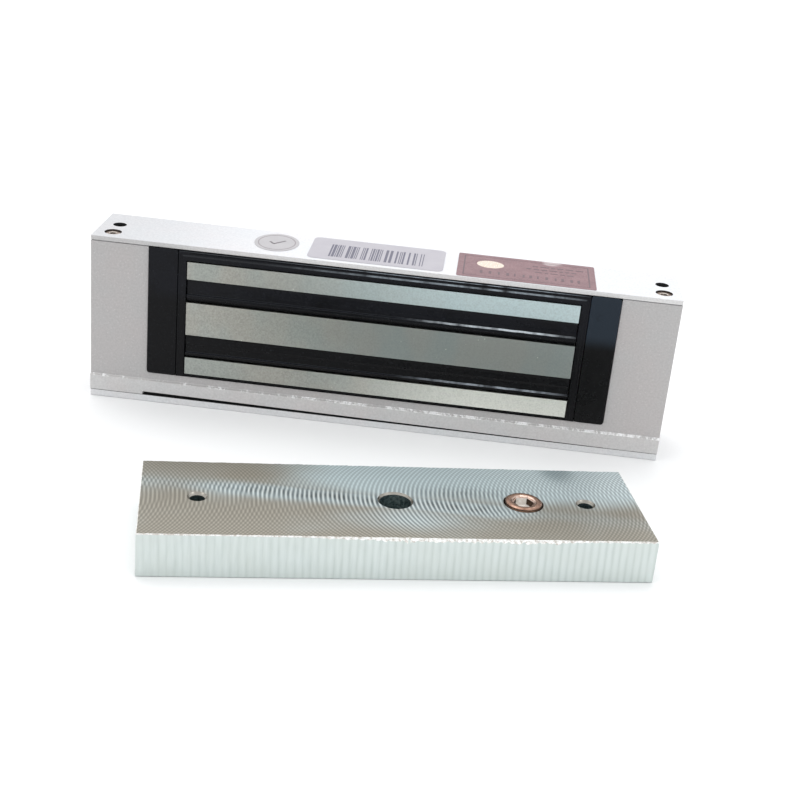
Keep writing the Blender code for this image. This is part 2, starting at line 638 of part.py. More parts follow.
def make_coil_leads():
    """Two leads from the winding's right end over the edge of the board."""
    start_x = CORE_HALF + SLOT
    for name, start_y, end_y, colour in (("coil_lead_plus", -0.0030, 0.0034, (0.5, 0.02, 0.02)),
                                         ("coil_lead_minus", -0.0002, 0.0054, (0.02, 0.02, 0.02))):
        route = smooth_route([
            (start_x + 0.0004, start_y, 0.0460), (start_x + 0.0026, start_y, 0.0490),
            (start_x + 0.0038, start_y, 0.0560), (start_x + 0.0044, (start_y + end_y) / 2, 0.0620),
            (start_x + 0.0062, end_y, 0.0650), (start_x + 0.0085, end_y, 0.0640),
            (start_x + 0.0092, end_y, BOARD_TOP + 0.0004)])
        lead = curve_to_mesh(tube_along(name, route, LEAD_RADIUS), name)
        finish(lead, name, material(f"{name}_pvc", colour, 0.45))


def make_grommet():
    inside, nib = FLOOR_TOP + GAP, GROMMET_CHAMFER
    profile = [(GROMMET_BORE, GROMMET_LIP_TOP), (GROMMET_LIP - nib, GROMMET_LIP_TOP),
               (GROMMET_LIP, GROMMET_LIP_TOP - nib), (GROMMET_LIP, inside), (GROMMET_NECK, inside),
               (GROMMET_NECK, BASE_THICKNESS), (GROMMET_FLANGE, BASE_THICKNESS),
               (GROMMET_FLANGE, GROMMET_BOTTOM + nib), (GROMMET_FLANGE - nib, GROMMET_BOTTOM),
               (GROMMET_BORE, GROMMET_BOTTOM)]
    grommet = ring("grommet_ring", profile, CHAMBER_MID, DUCT_Y, 24)
    finish(grommet, "cable_grommet", material("grommet_rubber", (0.02, 0.02, 0.02), 0.7))


def make_labels():
    """Three thin stickers on the cover: an oval, a bar-code tag and a tinted seal."""
    centre_z = LOCK_HEIGHT + STICKER_LIFT + STICKER_THICKNESS / 2
    half_x, half_y = OVAL_HALF
    oval = [Vector((half_x * math.cos(a), half_y * math.sin(a)))
            for a in (2 * math.pi * i / 40 for i in range(40))]
    stickers = (
        ("label_oval", oval, OVAL_AT, (0.78, 0.78, 0.80)),
        ("label_barcode", rounded_rectangle(*BARCODE_SIZE, BARCODE_CORNER), BARCODE_AT, (0.74, 0.73, 0.82)),
        ("label_seal", rounded_rectangle(*SEAL_SIZE, SEAL_CORNER, 2), SEAL_AT, (0.62, 0.44, 0.46)),
    )
    for name, outline, place, colour in stickers:
        sticker = extrude_outlines(f"{name}_sheet", [outline], STICKER_THICKNESS, (*place, centre_z))
        finish(sticker, name, material(f"{name}_vinyl", colour, 0.4))


# ================================================================ armature
def armature_motion():
    """Axis, pivot and angle of the single turn that carries the plate to the pole faces."""
    half = ARMATURE_THICKNESS / 2
    mated = Vector((ARMATURE_MATED_X, POLE_FACE - GAP - half, CORE_MID))
    tilt = math.tan(ARMATURE_YAW / 2)
    rise = mated.z - half
    rest_x = ARMATURE_MATED_X + tilt * (mated.y - ARMATURE_REST_Y + rise)
    rest = Vector((rest_x, ARMATURE_REST_Y, half))
    axis = Vector((-1.0, -tilt, -tilt)).normalized()
    angle = 2 * math.acos(math.cos(math.pi / 4) * math.cos(ARMATURE_YAW / 2))
    pivot = (rest + mated) / 2 + axis.cross(mated - rest) / (2 * math.tan(angle / 2))
    return rest, axis, pivot


def make_armature():
    rest, axis, pivot = armature_motion()
    hinge = bpy.data.objects.new("armature_hinge", None)
    hinge.location = pivot
    hinge.rotation_euler = axis.to_track_quat("Z", "Y").to_euler()
    PART.objects.link(hinge)
    bpy.context.view_layer.update()
    datum = bpy.data.objects.new("armature_datum", None)
    PART.objects.link(datum)
    datum.parent = hinge
    datum.matrix_parent_inverse = hinge.matrix_world.inverted()
    datum.location = (rest.x, rest.y, 0)
    datum.rotation_euler = (0, 0, ARMATURE_YAW)

    top = ARMATURE_THICKNESS
    plate = box("armature_slab", (-ARMATURE_LENGTH / 2, -ARMATURE_WIDTH / 2, 0),
                (ARMATURE_LENGTH / 2, ARMATURE_WIDTH / 2, top))
    round_edges(plate, PLATE_EDGE)
    cutters = []
    above, below = top + REACH, -REACH
    wide, narrow, chamfer = CENTRE_COUNTERBORE / 2, CENTRE_HOLE / 2, CENTRE_CHAMFER
    cutters.append(turned("armature_centre_hole", [
        (0, above), (wide + chamfer + REACH, above), (wide, top - chamfer), (wide, top / 2),
        (narrow, top / 2), (narrow, below), (0, below)]))
    small, seat = PIN_HOLE / 2, top - PIN_SEAT_RISE
    spread = PIN_SEAT_SPREAD * (above - seat) / PIN_SEAT_RISE
    for side, x in (("left", -PIN_HOLE_X), ("right", PIN_HOLE_X)):
        cutters.append(turned(f"armature_pin_hole_{side}", [
            (0, above), (small + spread, above), (small, seat), (small, below), (0, below)], x, sides=24))
    bore, stem_hole = BUTTON_DIAMETER / 2 + GAP, STEM_RADIUS + GAP
    cutters.append(turned("armature_button_bore", [
        (0, above), (bore, above), (bore, WEB_TOP), (stem_hole, WEB_TOP), (stem_hole, WEB_BOTTOM),
        (CLIP_POCKET_RADIUS, WEB_BOTTOM), (CLIP_POCKET_RADIUS, below), (0, below)], EJECTOR_X))
    for cutter in cutters:
        cut(plate, cutter)
        cutter.parent = datum
    plate.parent = datum
    finish(plate, "armature_plate", material("zinc_steel", (0.62, 0.62, 0.58), 0.35, 1.0))
    make_ejector(datum)


def make_ejector(datum):
    """The sprung bronze button that pushes the plate off, with its clip at the back."""
    head_top = ARMATURE_THICKNESS + BUTTON_PROUD
    head_under = head_top - BUTTON_HEIGHT
    radius = BUTTON_DIAMETER / 2
    button = turned("button_blank", [
        (0, head_top - BUTTON_RECESS), (radius - BUTTON_RIM - BUTTON_STEP, head_top - BUTTON_RECESS),
        (radius - BUTTON_RIM, head_top), (radius - BUTTON_CHAMFER, head_top),
        (radius, head_top - BUTTON_CHAMFER), (radius, head_under),
        (STEM_RADIUS, head_under), (STEM_RADIUS, CLIP_TOP + GAP), (GROOVE_RADIUS, CLIP_TOP + GAP),
        (GROOVE_RADIUS, CLIP_TOP - CLIP_THICKNESS - GAP), (STEM_RADIUS, CLIP_TOP - CLIP_THICKNESS - GAP),
        (STEM_RADIUS, STEM_END), (0, STEM_END)], EJECTOR_X)
    socket = cylinder("button_socket", BUTTON_HEX / 2 / math.cos(math.pi / 6),
                      head_top - BUTTON_HEX_DEPTH, head_top + REACH, EJECTOR_X, 0, 6)
    socket.rotation_euler = (0, 0, math.pi / 6)
    cut(button, socket)
    finish(button, "ejector_button", material("button_bronze", (0.45, 0.33, 0.24), 0.35, 1.0))

    clip = ring("clip_blank", [
        (GROOVE_RADIUS + GAP, CLIP_TOP), (CLIP_RADIUS, CLIP_TOP),
        (CLIP_RADIUS, CLIP_TOP - CLIP_THICKNESS), (GROOVE_RADIUS + GAP, CLIP_TOP - CLIP_THICKNESS)],
        EJECTOR_X, sides=24)
    mouth = box("clip_mouth", (EJECTOR_X, -CLIP_MOUTH_HALF, 0),
                (EJECTOR_X + REACH, CLIP_MOUTH_HALF, CLIP_TOP + REACH))
    cut(clip, mouth)
    finish(clip, "ejector_clip", material("clip_steel", (0.30, 0.30, 0.32), 0.35, 1.0))

    low, high = WEB_TOP + GAP + SPRING_WIRE, head_under - GAP - SPRING_WIRE
    coil = []
    for step in range(SPRING_TURNS * SPRING_STEPS + 1):
        angle = 2 * math.pi * step / SPRING_STEPS
        height = low + (high - low) * step / (SPRING_TURNS * SPRING_STEPS)
        coil.append((EJECTOR_X + SPRING_RADIUS * math.cos(angle), SPRING_RADIUS * math.sin(angle), height))
    spring = curve_to_mesh(tube_along("spring_wire", coil, SPRING_WIRE), "spring_wire")
    finish(spring, "ejector_spring", material("spring_steel", (0.55, 0.55, 0.55), 0.3, 1.0))
    for piece in (button, socket, clip, mouth, spring):
        piece.parent = datum


clear_scene()
PART = new_collection("magnetic_door_lock")
CUTTERS = new_collection("cutters")
make_housing()
make_top_cover()
make_mounting_plate()
make_fixings()
make_core()
make_coil()
make_slot_covers()
make_mouldings()
make_potting()
make_wiring_chamber()
make_coil_leads()
make_grommet()
make_labels()
make_armature()
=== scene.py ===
"""The looks of the magnetic door lock and its armature plate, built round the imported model.

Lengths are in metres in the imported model's frame: +Z up, X along the lock, -Y towards its poles.
"""
import json
import math
import random

import bmesh
import bpy
from mathutils import Matrix, Vector, noise


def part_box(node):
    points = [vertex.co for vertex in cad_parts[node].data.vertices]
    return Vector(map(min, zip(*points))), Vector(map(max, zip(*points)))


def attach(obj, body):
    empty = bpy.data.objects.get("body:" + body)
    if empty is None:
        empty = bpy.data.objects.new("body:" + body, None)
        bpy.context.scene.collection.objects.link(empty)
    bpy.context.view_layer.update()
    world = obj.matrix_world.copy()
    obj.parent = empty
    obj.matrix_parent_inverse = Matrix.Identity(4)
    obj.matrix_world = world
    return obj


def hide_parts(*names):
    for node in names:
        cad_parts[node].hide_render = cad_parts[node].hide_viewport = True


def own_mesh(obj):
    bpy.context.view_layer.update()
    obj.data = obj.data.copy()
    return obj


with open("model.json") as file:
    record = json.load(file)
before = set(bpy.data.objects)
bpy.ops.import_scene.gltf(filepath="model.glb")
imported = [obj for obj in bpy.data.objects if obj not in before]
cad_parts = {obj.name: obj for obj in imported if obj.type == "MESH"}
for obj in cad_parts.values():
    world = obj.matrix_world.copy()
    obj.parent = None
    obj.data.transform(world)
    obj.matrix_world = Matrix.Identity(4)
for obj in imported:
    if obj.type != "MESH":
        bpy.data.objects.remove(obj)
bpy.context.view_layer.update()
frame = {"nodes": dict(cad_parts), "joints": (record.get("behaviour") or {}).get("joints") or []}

# ---------------------------------------------------------------- sizes read from the frame
HOUSING_LOW, HOUSING_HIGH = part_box("housing")
COVER_LOW, COVER_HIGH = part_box("top_cover")
BASE_LOW, BASE_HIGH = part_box("mounting_plate")
RIM_LOW, RIM_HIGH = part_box("face_frame")
CORE_LOW, CORE_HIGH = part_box("laminated_core")
PLATE_LOW, PLATE_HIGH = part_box("armature_plate")

GAP = HOUSING_LOW.z - BASE_HIGH.z
FRONT, BACK, END = COVER_LOW.y, COVER_HIGH.y, COVER_HIGH.x
COVER_UNDER = HOUSING_HIGH.z + GAP
WINDOW_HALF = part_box("end_block_right")[1].x + GAP
WINDOW_BOTTOM = RIM_LOW.z - GAP

# ---------------------------------------------------------------- sizes of details
FLANGE_TOP = 0.0108
LEDGE = 0.0003
EDGE = 0.0005
WALL_FRONT = 0.0025
WALL_BACK = 0.003
CHAMBER_END = END - 0.014
FLOOR_TOP = HOUSING_LOW.z + 0.004
SPARE_Y = FRONT + 0.0198
SPARE_RADIUS = 0.0031
CUP_RADIUS = 0.0039
CUP_WALL = 0.0010
CUP_FLOOR_TOP = COVER_LOW.z + 0.0012
SHANK_RADIUS = 0.0024
SLOT_HEIGHT = 0.0110
PIN_X = 0.077
# How far from the core's outer edges the painted reflection on its two outer strips, and the painted shade
# beside them, start and end.
LEG_SHADE = (0.0095, 0.0080)

INK = 0.00003

# The armature's upright cutter marks: pitch, lean over the plate's thickness, and slow sway along it.
SIDE_PITCH = 0.0029
SIDE_SLANT = 0.0005
SIDE_DRIFT = 62.0
SIDE_SWAY = 0.5
BURR = 0.0006

# Turns a flat outline upright, so that it is drawn in x and z.
ALONG_Y = Matrix.Rotation(math.pi / 2, 4, "X")


def middle(node):
    low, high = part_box(node)
    return (low + high) / 2


def srgb(red, green, blue):
    """A screen colour, 0 to 255, as linear values with alpha."""
    def linear(value):
        value = value / 255
        return value / 12.92 if value <= 0.04045 else ((value + 0.055) / 1.055) ** 2.4
    return (linear(red), linear(green), linear(blue), 1.0)


# ================================================================ camera, floor and light
def make_camera():
    data = bpy.data.cameras.new("camera")
    data.sensor_width = 36.0
    data.lens = 63.0
    camera = bpy.data.objects.new("camera", data)
    heading, pitch, roll = math.radians(2.772), math.radians(23.535), math.radians(5.511)
    turn = (Matrix.Rotation(heading, 4, "Z") @ Matrix.Rotation(math.pi / 2 - pitch, 4, "X")
            @ Matrix.Rotation(roll, 4, "Z"))
    camera.matrix_world = Matrix.Translation((0.04117, -0.61051, 0.27349)) @ turn
    bpy.context.scene.collection.objects.link(camera)
    bpy.context.scene.camera = camera


def add_light(name, place, target, size, power, colour=(1, 1, 1)):
    data = bpy.data.lights.new(name, "AREA")
    data.shape = "RECTANGLE"
    data.size, data.size_y = size
    data.energy = power
    data.color = colour
    lamp = bpy.data.objects.new(name, data)
    lamp.location = place
    lamp.rotation_euler = (Vector(target) - Vector(place)).to_track_quat("-Z", "Y").to_euler()
    bpy.context.scene.collection.objects.link(lamp)


def make_studio():
    world = bpy.data.worlds.new("studio")
    bpy.context.scene.world = world
    world.use_nodes = True
    sky = world.node_tree.nodes["Background"]
    sky.inputs["Color"].default_value = (0.975, 0.988, 1.0, 1.0)
    sky.inputs["Strength"].default_value = 0.98
    add_light("softbox_top", (-0.15, 0.30, 1.05), (0, -0.02, 0.03), (0.9, 0.7), 3.6)
    add_light("softbox_left", (-0.95, -0.75, 0.75), (0, -0.05, 0.03), (0.6, 0.6), 1.6, (1, 0.985, 0.96))
    add_light("softbox_right", (0.95, -0.55, 0.65), (0.05, -0.05, 0.03), (0.5, 0.7), 1.4, (0.95, 0.98, 1))
    add_light("softbox_far", (0, 2.8, 1.6), (0, 2.6, 0), (3.0, 1.6), 14.0)

    bpy.ops.mesh.primitive_circle_add(vertices=96, radius=6.0, fill_type="NGON", location=(0, 0, -0.0002))
    floor = bpy.context.object
    floor.name = "floor"
    paper = Paint("floor_paper", srgb(250, 250, 250), 0.85, specular=0.1)
    paper.tint(paper.speckle(0.05), srgb(249, 249, 249), srgb(252, 252, 252))
    floor.data.materials.append(paper.material)
    bpy.context.scene.view_settings.view_transform = "Standard"


# ================================================================ shader nodes
class Signal:
    """A number or a colour worked out at each point of a surface; arithmetic adds the nodes it needs."""

    def __init__(self, paint, socket):
        self.paint = paint
        self.socket = socket

    def __add__(self, other):
        return self.paint.calc("ADD", self, other)

    def __sub__(self, other):
        return self.paint.calc("SUBTRACT", self, other)

    def __mul__(self, other):
        return self.paint.calc("MULTIPLY", self, other)

    def remap(self, low, high, to_low=0.0, to_high=1.0, kind="LINEAR"):
        inputs = {0: self, 1: low, 2: high, 3: to_low, 4: to_high}
        return self.paint.node("ShaderNodeMapRange", 0, inputs, interpolation_type=kind)

    def ease(self, low, high, to_low=0.0, to_high=1.0):
        return self.remap(low, high, to_low, to_high, "SMOOTHSTEP")


class Paint:
    """A Principled material in the making; its patterns lie in the piece's own coordinates."""

    def __init__(self, name, colour, roughness, metallic=0.0, specular=0.5):
        self.material = bpy.data.materials.new(name)
        self.material.use_nodes = True
        self.tree = self.material.node_tree
        self.shader = self.tree.nodes["Principled BSDF"]
        for socket, value in (("Base Color", colour), ("Roughness", roughness), ("Metallic", metallic),
                              ("Specular IOR Level", specular)):
            self.shader.inputs[socket].default_value = value
        self.place = self.node("ShaderNodeTexCoord", "Object")

    def node(self, kind, output, inputs=None, **settings):
        """Add a node, return one output; inputs maps a socket's name or number to what goes in."""
        made = self.tree.nodes.new(kind)
        for key, value in settings.items():
            setattr(made, key, value)
        for key, value in (inputs or {}).items():
            if isinstance(value, Signal):
                self.tree.links.new(value.socket, made.inputs[key])
            else:
                made.inputs[key].default_value = value
        return Signal(self, made.outputs[output])

    def calc(self, operation, *values):
        return self.node("ShaderNodeMath", 0, dict(enumerate(values)), operation=operation)

    def axis(self, number):
        return self.node("ShaderNodeSeparateXYZ", number, {0: self.place})

    def speckle(self, size, detail=2.0, rough=0.5, stretch=None):
        """Noise whose blotches measure about size, from 0 to 1."""
        place = self.place
        if stretch:
            place = self.node("ShaderNodeMapping", 0, {0: place, "Scale": stretch})
        inputs = {"Vector": place, "Scale": 1 / size, "Detail": detail, "Roughness": rough}
        return self.node("ShaderNodeTexNoise", 0, inputs)

    def cells(self, size):
        return self.node("ShaderNodeTexVoronoi", "Distance", {"Vector": self.place, "Scale": 1 / size})

    def hump(self, centre, reach):
        """A soft spot, 1 at its centre and fading over its reach along X and Y."""
        across = (self.axis(0) - centre[0]) * (1 / reach[0])
        along = (self.axis(1) - centre[1]) * (1 / reach[1])
        return self.calc("POWER", math.e, (across * across + along * along) * -1.0)

    def mixed(self, factor, first, second, mode="MIX"):
        inputs = {0: factor, 6: first, 7: second}
        return self.node("ShaderNodeMix", 2, inputs, data_type="RGBA", blend_type=mode)

    def times(self, first, second):
        return self.mixed(1.0, first, second, "MULTIPLY")

    def tint(self, factor, first, second):
        """Colour the surface between two colours."""
        self.tree.links.new(self.mixed(factor, first, second).socket, self.shader.inputs["Base Color"])

    def roughen(self, value, low, high):
        self.tree.links.new(value.remap(0.3, 0.7, low, high).socket, self.shader.inputs["Roughness"])

    def bump(self, height, strength, distance):
        """Raise the surface by a signal, on top of any bumps it has."""
        inputs = {"Strength": strength, "Distance": distance, "Height": height}
        normal = self.shader.inputs["Normal"]
        if normal.is_linked:
            inputs["Normal"] = Signal(self, normal.links[0].from_socket)
        self.tree.links.new(self.node("ShaderNodeBump", 0, inputs).socket, normal)


# ================================================================ materials
WHITE = srgb(255, 255, 255)


def silver_coat(name, light, dark, sparkle, left=1.0, right=1.0):
    """Silver paint: fine grain, bright flakes and faint patches; left and right scale the colour at its two
    ends, as painted shade below 1 and painted light above 1.
    """
    paint = Paint(name, light, 0.42, 0.25)
    x = paint.axis(0)
    grain = paint.speckle(0.0009, 3.0, 0.6)
    base = paint.mixed(grain.remap(0.32, 0.68), dark, light)
    patches = paint.speckle(0.022).remap(0.35, 0.65)
    warm = paint.mixed(patches, (1.0, 0.985, 0.975, 1), (0.975, 0.99, 0.985, 1))
    # Painted shade and light along X: the colour is scaled by left at the left end and by right at the
    # right end.
    fade = x.ease(-END, -0.02, left, 1.0) * x.ease(0.02, END, 1.0, right)
    toned = paint.times(paint.times(base, warm), fade)
    paint.tint(paint.cells(0.0016).ease(0.05, 0.26, sparkle, 0.0), toned, WHITE)
    paint.roughen(grain, 0.52, 0.32)
    paint.bump(grain, 0.30, 0.00010)
    paint.bump(paint.speckle(0.0004, 1.0), 0.25, 0.00004)
    return paint.material


def ledge_glint():
    """The flange's upper edge: silver paint with a broken white painted highlight, denser to the right."""
    paint = Paint("ledge_silver", srgb(196, 194, 193), 0.32, 0.25)
    dashes = paint.speckle(0.0026, 5.0, 0.72, (1.0, 0.6, 0.6))
    edge = paint.axis(0).ease(-0.11, 0.05, 0.58, 0.47)
    paint.tint((dashes - edge).ease(-0.07, 0.12), srgb(190, 188, 187), srgb(252, 252, 252))
    paint.roughen(dashes, 0.44, 0.26)
    paint.bump(dashes, 0.3, 0.0001)
    return paint.material


def black_plastic(name, light, dark, roughness=0.24):
    """Glossy moulded plastic, a little wavy, with fine dust and rubbed patches of roughness; where it is
    high, the patches are painted bluer as painted reflection.
    """
    paint = Paint(name, dark, roughness, specular=0.12)
    rubbed_and_reflection = paint.speckle(0.012, 4.0, 0.6)
    # Painted reflection: the upper part is tinted in patches towards the lighter, bluer colour.
    high = paint.axis(2).ease(0.050, 0.058)
    dust = paint.speckle(0.0007).remap(0.64, 0.76, 0.0, 0.5)
    base = paint.mixed(high * rubbed_and_reflection.remap(0.2, 0.5), dark, light)
    paint.tint(dust, base, srgb(52, 54, 60))
    paint.roughen(rubbed_and_reflection, roughness - 0.06, roughness + 0.14)
    paint.bump(paint.speckle(0.0045, 1.0), 0.35, 0.00025)
    paint.bump(paint.speckle(0.0006), 0.12, 0.00004)
    return paint.material


def edge_highlight_line(name, bright, low, high, stop):
    """The black plastic's edges with a painted highlight: a pale line that comes in from low to high and
    ends at stop.
    """
    paint = Paint(name, srgb(24, 25, 29), 0.28, specular=0.3)
    x = paint.axis(0)
    dashes = paint.speckle(0.0070, 3.0, 0.65, (1.0, 0.05, 0.2))
    reach = x.ease(low, high) * x.ease(stop, stop - 0.022)
    paint.tint(dashes.remap(0.30, 0.60) * reach, srgb(24, 26, 31), bright)
    paint.roughen(dashes, 0.36, 0.20)
    paint.bump(dashes, 0.2, 0.0001)
    return paint.material


def pole_steel():
    """Ground lamination edges: fine grey mottle with warm and cool patches; the middle strip painted
    flatter and a little darker to the right as painted shade, and the two outer strips painted pale towards
    the right as painted reflection.
    """
    paint = Paint("pole_steel", srgb(150, 151, 146), 0.36, 1.0)
    x, z = paint.axis(0), paint.axis(2)
    mottle = paint.speckle(0.0007, 3.0, 0.6)
    broad = paint.speckle(0.018, 2.0, 0.4, (1.0, 1.0, 0.5))
    base = paint.mixed(mottle.remap(0.30, 0.70), srgb(150, 151, 146), srgb(163, 164, 158))
    cool = paint.mixed(broad.ease(0.38, 0.62), (1.025, 1.0, 0.98, 1), (0.96, 1.0, 1.005, 1))
    toned = paint.times(base, cool)
    upper = z.ease(CORE_HIGH.z - LEG_SHADE[0], CORE_HIGH.z - LEG_SHADE[1])
    lower = z.ease(CORE_LOW.z + LEG_SHADE[0], CORE_LOW.z + LEG_SHADE[1])
    # Painted shade: the middle strip turns to a flatter, slightly darker grey towards the right.
    centre = x.ease(-0.055, 0.01) * ((upper + lower) * -1.0 + 1.0)
    shaded = paint.mixed(centre, toned, paint.times(srgb(145, 149, 146), cool))
    depth = paint.mixed(mottle.remap(0.3, 0.7), (0.80, 0.80, 0.80, 1), (1.12, 1.12, 1.12, 1))
    grain = paint.mixed(0.40, shaded, depth, "MULTIPLY")
    # Painted reflection: pale colours over the outer strips, growing towards the right.
    gleam = x.ease(-0.075, 0.055, 0.0, 0.80) * upper + x.ease(-0.035, 0.055, 0.0, 0.95) * lower
    pale = paint.mixed(upper, srgb(226, 227, 219), srgb(200, 219, 222))
    shine = paint.mixed(gleam * mottle.remap(0.25, 0.6, 0.70, 1.0), grain, pale)
    specks = paint.cells(0.0026).ease(0.04, 0.13, 0.75, 0.0) * paint.speckle(0.014).remap(0.56, 0.64)
    paint.tint(specks, shine, srgb(240, 240, 232))
    paint.roughen(mottle, 0.44, 0.34)
    paint.bump(paint.calc("SINE", x * (2 * math.pi / 0.0007)), 0.08, 0.00002)
    paint.bump(mottle, 0.12, 0.00005)
    return paint.material


def cut_arcs(paint, side, pitch, radius, wobble):
    """Waves along the arcs left by a face mill whose centre runs along X, from 0 to 1."""
    y = paint.axis(1)
    reach = paint.calc("SQRT", y * y * -1.0 + radius ** 2)
    phase = (reach * side + paint.axis(0)) * (2 * math.pi / pitch) + wobble
    return paint.calc("SINE", phase) * 0.5 + 0.5


def milled_face():
    """The armature's contact face: crossing cutter arcs under clear zinc, their light and dark partly real
    tool marks and partly painted reflection, in strongest contrast along a slanted middle band and two
    spots, with a pale painted sheen over the rear right.
    """
    paint = Paint("milled_zinc", srgb(160, 160, 156), 0.34, 0.40)
    x, y = paint.axis(0), paint.axis(1)
    wander = paint.speckle(0.012) * 1.6
    main = cut_arcs(paint, 1.0, 0.00182, 0.045, wander)
    cross = cut_arcs(paint, -1.0, 0.00155, 0.047, wander)
    patches = paint.speckle(0.026, 1.0, stretch=(1.0, 1.8, 1.0))
    lean = paint.hump((0.000, -0.006), (0.040, 0.050))
    weave = paint.mixed(lean.remap(0.0, 1.0, 0.35, 0.95), cross, main)

    # Painted reflection: a slanted band and two spots where the arcs are painted in their strongest
    # contrast and a cooler tone.
    slanted = x * 0.14 + y + 0.0015
    stripe = paint.calc("POWER", math.e, slanted * slanted * (-1 / 0.0054 ** 2))
    stripe = stripe * x.ease(-0.090, -0.045, 0.30, 1.0) * x.ease(0.062, 0.030, 0.15, 1.0)
    front_spot = paint.hump((0.004, -0.014), (0.022, 0.010)) * 0.50
    back_spot = paint.hump((0.026, 0.007), (0.026, 0.005)) * 0.75
    near = paint.calc("MAXIMUM", stripe, paint.calc("MAXIMUM", front_spot, back_spot))
    wave = paint.mixed(near * 0.75, weave, main)

    # Cooler towards the rear; a pale painted sheen over the rear right.
    back = y.ease(-0.010, 0.016)
    spread = back * x.ease(-0.070, 0.005)
    cool = (patches * 0.5 + paint.calc("MAXIMUM", spread, near)).ease(0.20, 1.05)
    rear_right_sheen = back * x.ease(0.0, 0.085, 0.0, 0.90)
    light = paint.mixed(cool, srgb(150, 145, 132), srgb(195, 209, 211))
    dark = paint.mixed(cool, srgb(121, 116, 105), srgb(153, 166, 169))
    contrast = near * paint.speckle(0.006).remap(0.3, 0.65, 0.6, 1.0)
    deep = paint.mixed(contrast, dark, srgb(64, 73, 75))
    bright = paint.mixed(rear_right_sheen, paint.mixed(contrast, light, srgb(199, 205, 203)), srgb(228, 239, 240))
    marked = paint.mixed(wave.remap(0.25, 0.95), deep, bright)
    # Painted shadow: a dark patch at the rear edge behind the right pin hole.
    shadow_column = paint.hump((0.071, 0.031), (0.008, 0.013)).ease(0.1, 0.9, 0.0, 0.55)
    paint.tint(shadow_column, marked, srgb(96, 112, 117))
    paint.roughen(wave, 0.44, 0.28)
    paint.bump(wave, 0.22, 0.00005)
    paint.bump(paint.speckle(0.0006), 0.12, 0.00003)
    return paint.material


def sawn_side(top):
    """The armature's long sides: pale zinc with soft, evenly spaced upright cutter marks."""
    paint = Paint("sawn_zinc", srgb(212, 221, 219), 0.42, 0.75)
    x, z = paint.axis(0), paint.axis(2)
    drift = paint.calc("SINE", x * SIDE_DRIFT) * SIDE_SWAY
    leaning = z * (SIDE_SLANT / top) + x
    ribs = paint.calc("ABSOLUTE", paint.calc("SINE", leaning * (math.pi / SIDE_PITCH) + drift))
    fine = paint.speckle(0.0011, stretch=(1.0, 0.3, 0.10))
    marks = paint.mixed(x.remap(-0.09, 0.06, 0.45, 1.0), fine, ribs)
    base = paint.mixed(marks.remap(0.15, 0.90), srgb(194, 203, 200), srgb(210, 218, 216))
    streaked = paint.mixed(fine.remap(0.3, 0.7, 0.0, 0.30), base, srgb(214, 221, 219))
    paint.tint(paint.speckle(0.014).remap(0.3, 0.7, 0.0, 0.35), streaked, srgb(200, 206, 200))
    paint.roughen(fine, 0.50, 0.36)
    paint.bump(marks, 0.15, 0.00010)
    paint.bump(fine, 0.15, 0.00005)
    return paint.material


def burr_highlight():
    """Torn burr and chamfers, painted brighter than the faces beside them as a painted highlight."""
    paint = Paint("burr_zinc", srgb(240, 240, 238), 0.30, 0.5)
    chips = paint.speckle(0.0012, 3.0)
    paint.tint(chips.remap(0.35, 0.6), srgb(196, 190, 182), srgb(252, 252, 250))
    paint.roughen(chips, 0.45, 0.20)
    paint.bump(chips, 0.5, 0.0002)
    return paint.material


def drilled(name, light, dark, roughness=0.35):
    """Turned or drilled metal: fine rings round the upright axis."""
    paint = Paint(name, light, roughness, 1.0)
    rings = paint.speckle(0.0004, stretch=(0.15, 0.15, 1.0))
    paint.tint(paint.speckle(0.004, 3.0).remap(0.3, 0.7), dark, light)
    paint.roughen(rings, roughness + 0.10, roughness - 0.10)
    paint.bump(rings, 0.25, 0.00004)
    return paint.material


def mottled_metal(name, light, dark, roughness, size=0.002):
    """Plated or bronze metal with stains and fine pits."""
    paint = Paint(name, light, roughness, 1.0)
    stains = paint.speckle(size, 4.0, 0.6)
    paint.tint(stains.remap(0.34, 0.66), dark, light)
    paint.roughen(stains, roughness + 0.12, roughness - 0.08)
    paint.bump(paint.cells(size / 3).remap(0.08, 0.25), 0.15, 0.00003)
    return paint.material


def moulded(name, colour, shade, roughness, size=0.0015):
    """Plain moulded or cast plastic with a fine texture."""
    paint = Paint(name, colour, roughness)
    grain = paint.speckle(size, 3.0)
    paint.tint(grain.remap(0.3, 0.7), shade, colour)
    paint.roughen(grain, roughness - 0.08, roughness + 0.10)
    paint.bump(paint.speckle(size / 3), 0.2, 0.00004)
    return paint.material


def wound_copper():
    """Enamelled copper wire laid in turns along the coil."""
    paint = Paint("enamelled_copper", srgb(186, 96, 48), 0.28, 1.0)
    turns = paint.calc("ABSOLUTE", paint.calc("SINE", paint.axis(1) * (math.pi / 0.0006)))
    paint.tint(turns, srgb(96, 40, 16), srgb(204, 112, 58))
    paint.roughen(paint.speckle(0.002), 0.2, 0.4)
    paint.bump(turns, 0.6, 0.00020)
    return paint.material


def circuit_board():
    """Green solder mask over paler copper tracks."""
    paint = Paint("solder_mask", srgb(20, 96, 52), 0.30)
    tracks = paint.node("ShaderNodeTexBrick", "Color", {
        "Vector": paint.place, "Scale": 420.0, "Mortar Size": 0.03, "Color1": (0, 0, 0, 1),
        "Color2": (0, 0, 0, 1), "Mortar": (1, 1, 1, 1)})
    base = paint.mixed(paint.speckle(0.003), srgb(14, 78, 42), srgb(24, 104, 58))
    paint.tint(tracks, base, srgb(64, 150, 88))
    paint.roughen(paint.speckle(0.001), 0.22, 0.38)
    paint.bump(tracks, 0.3, 0.00005)
    return paint.material


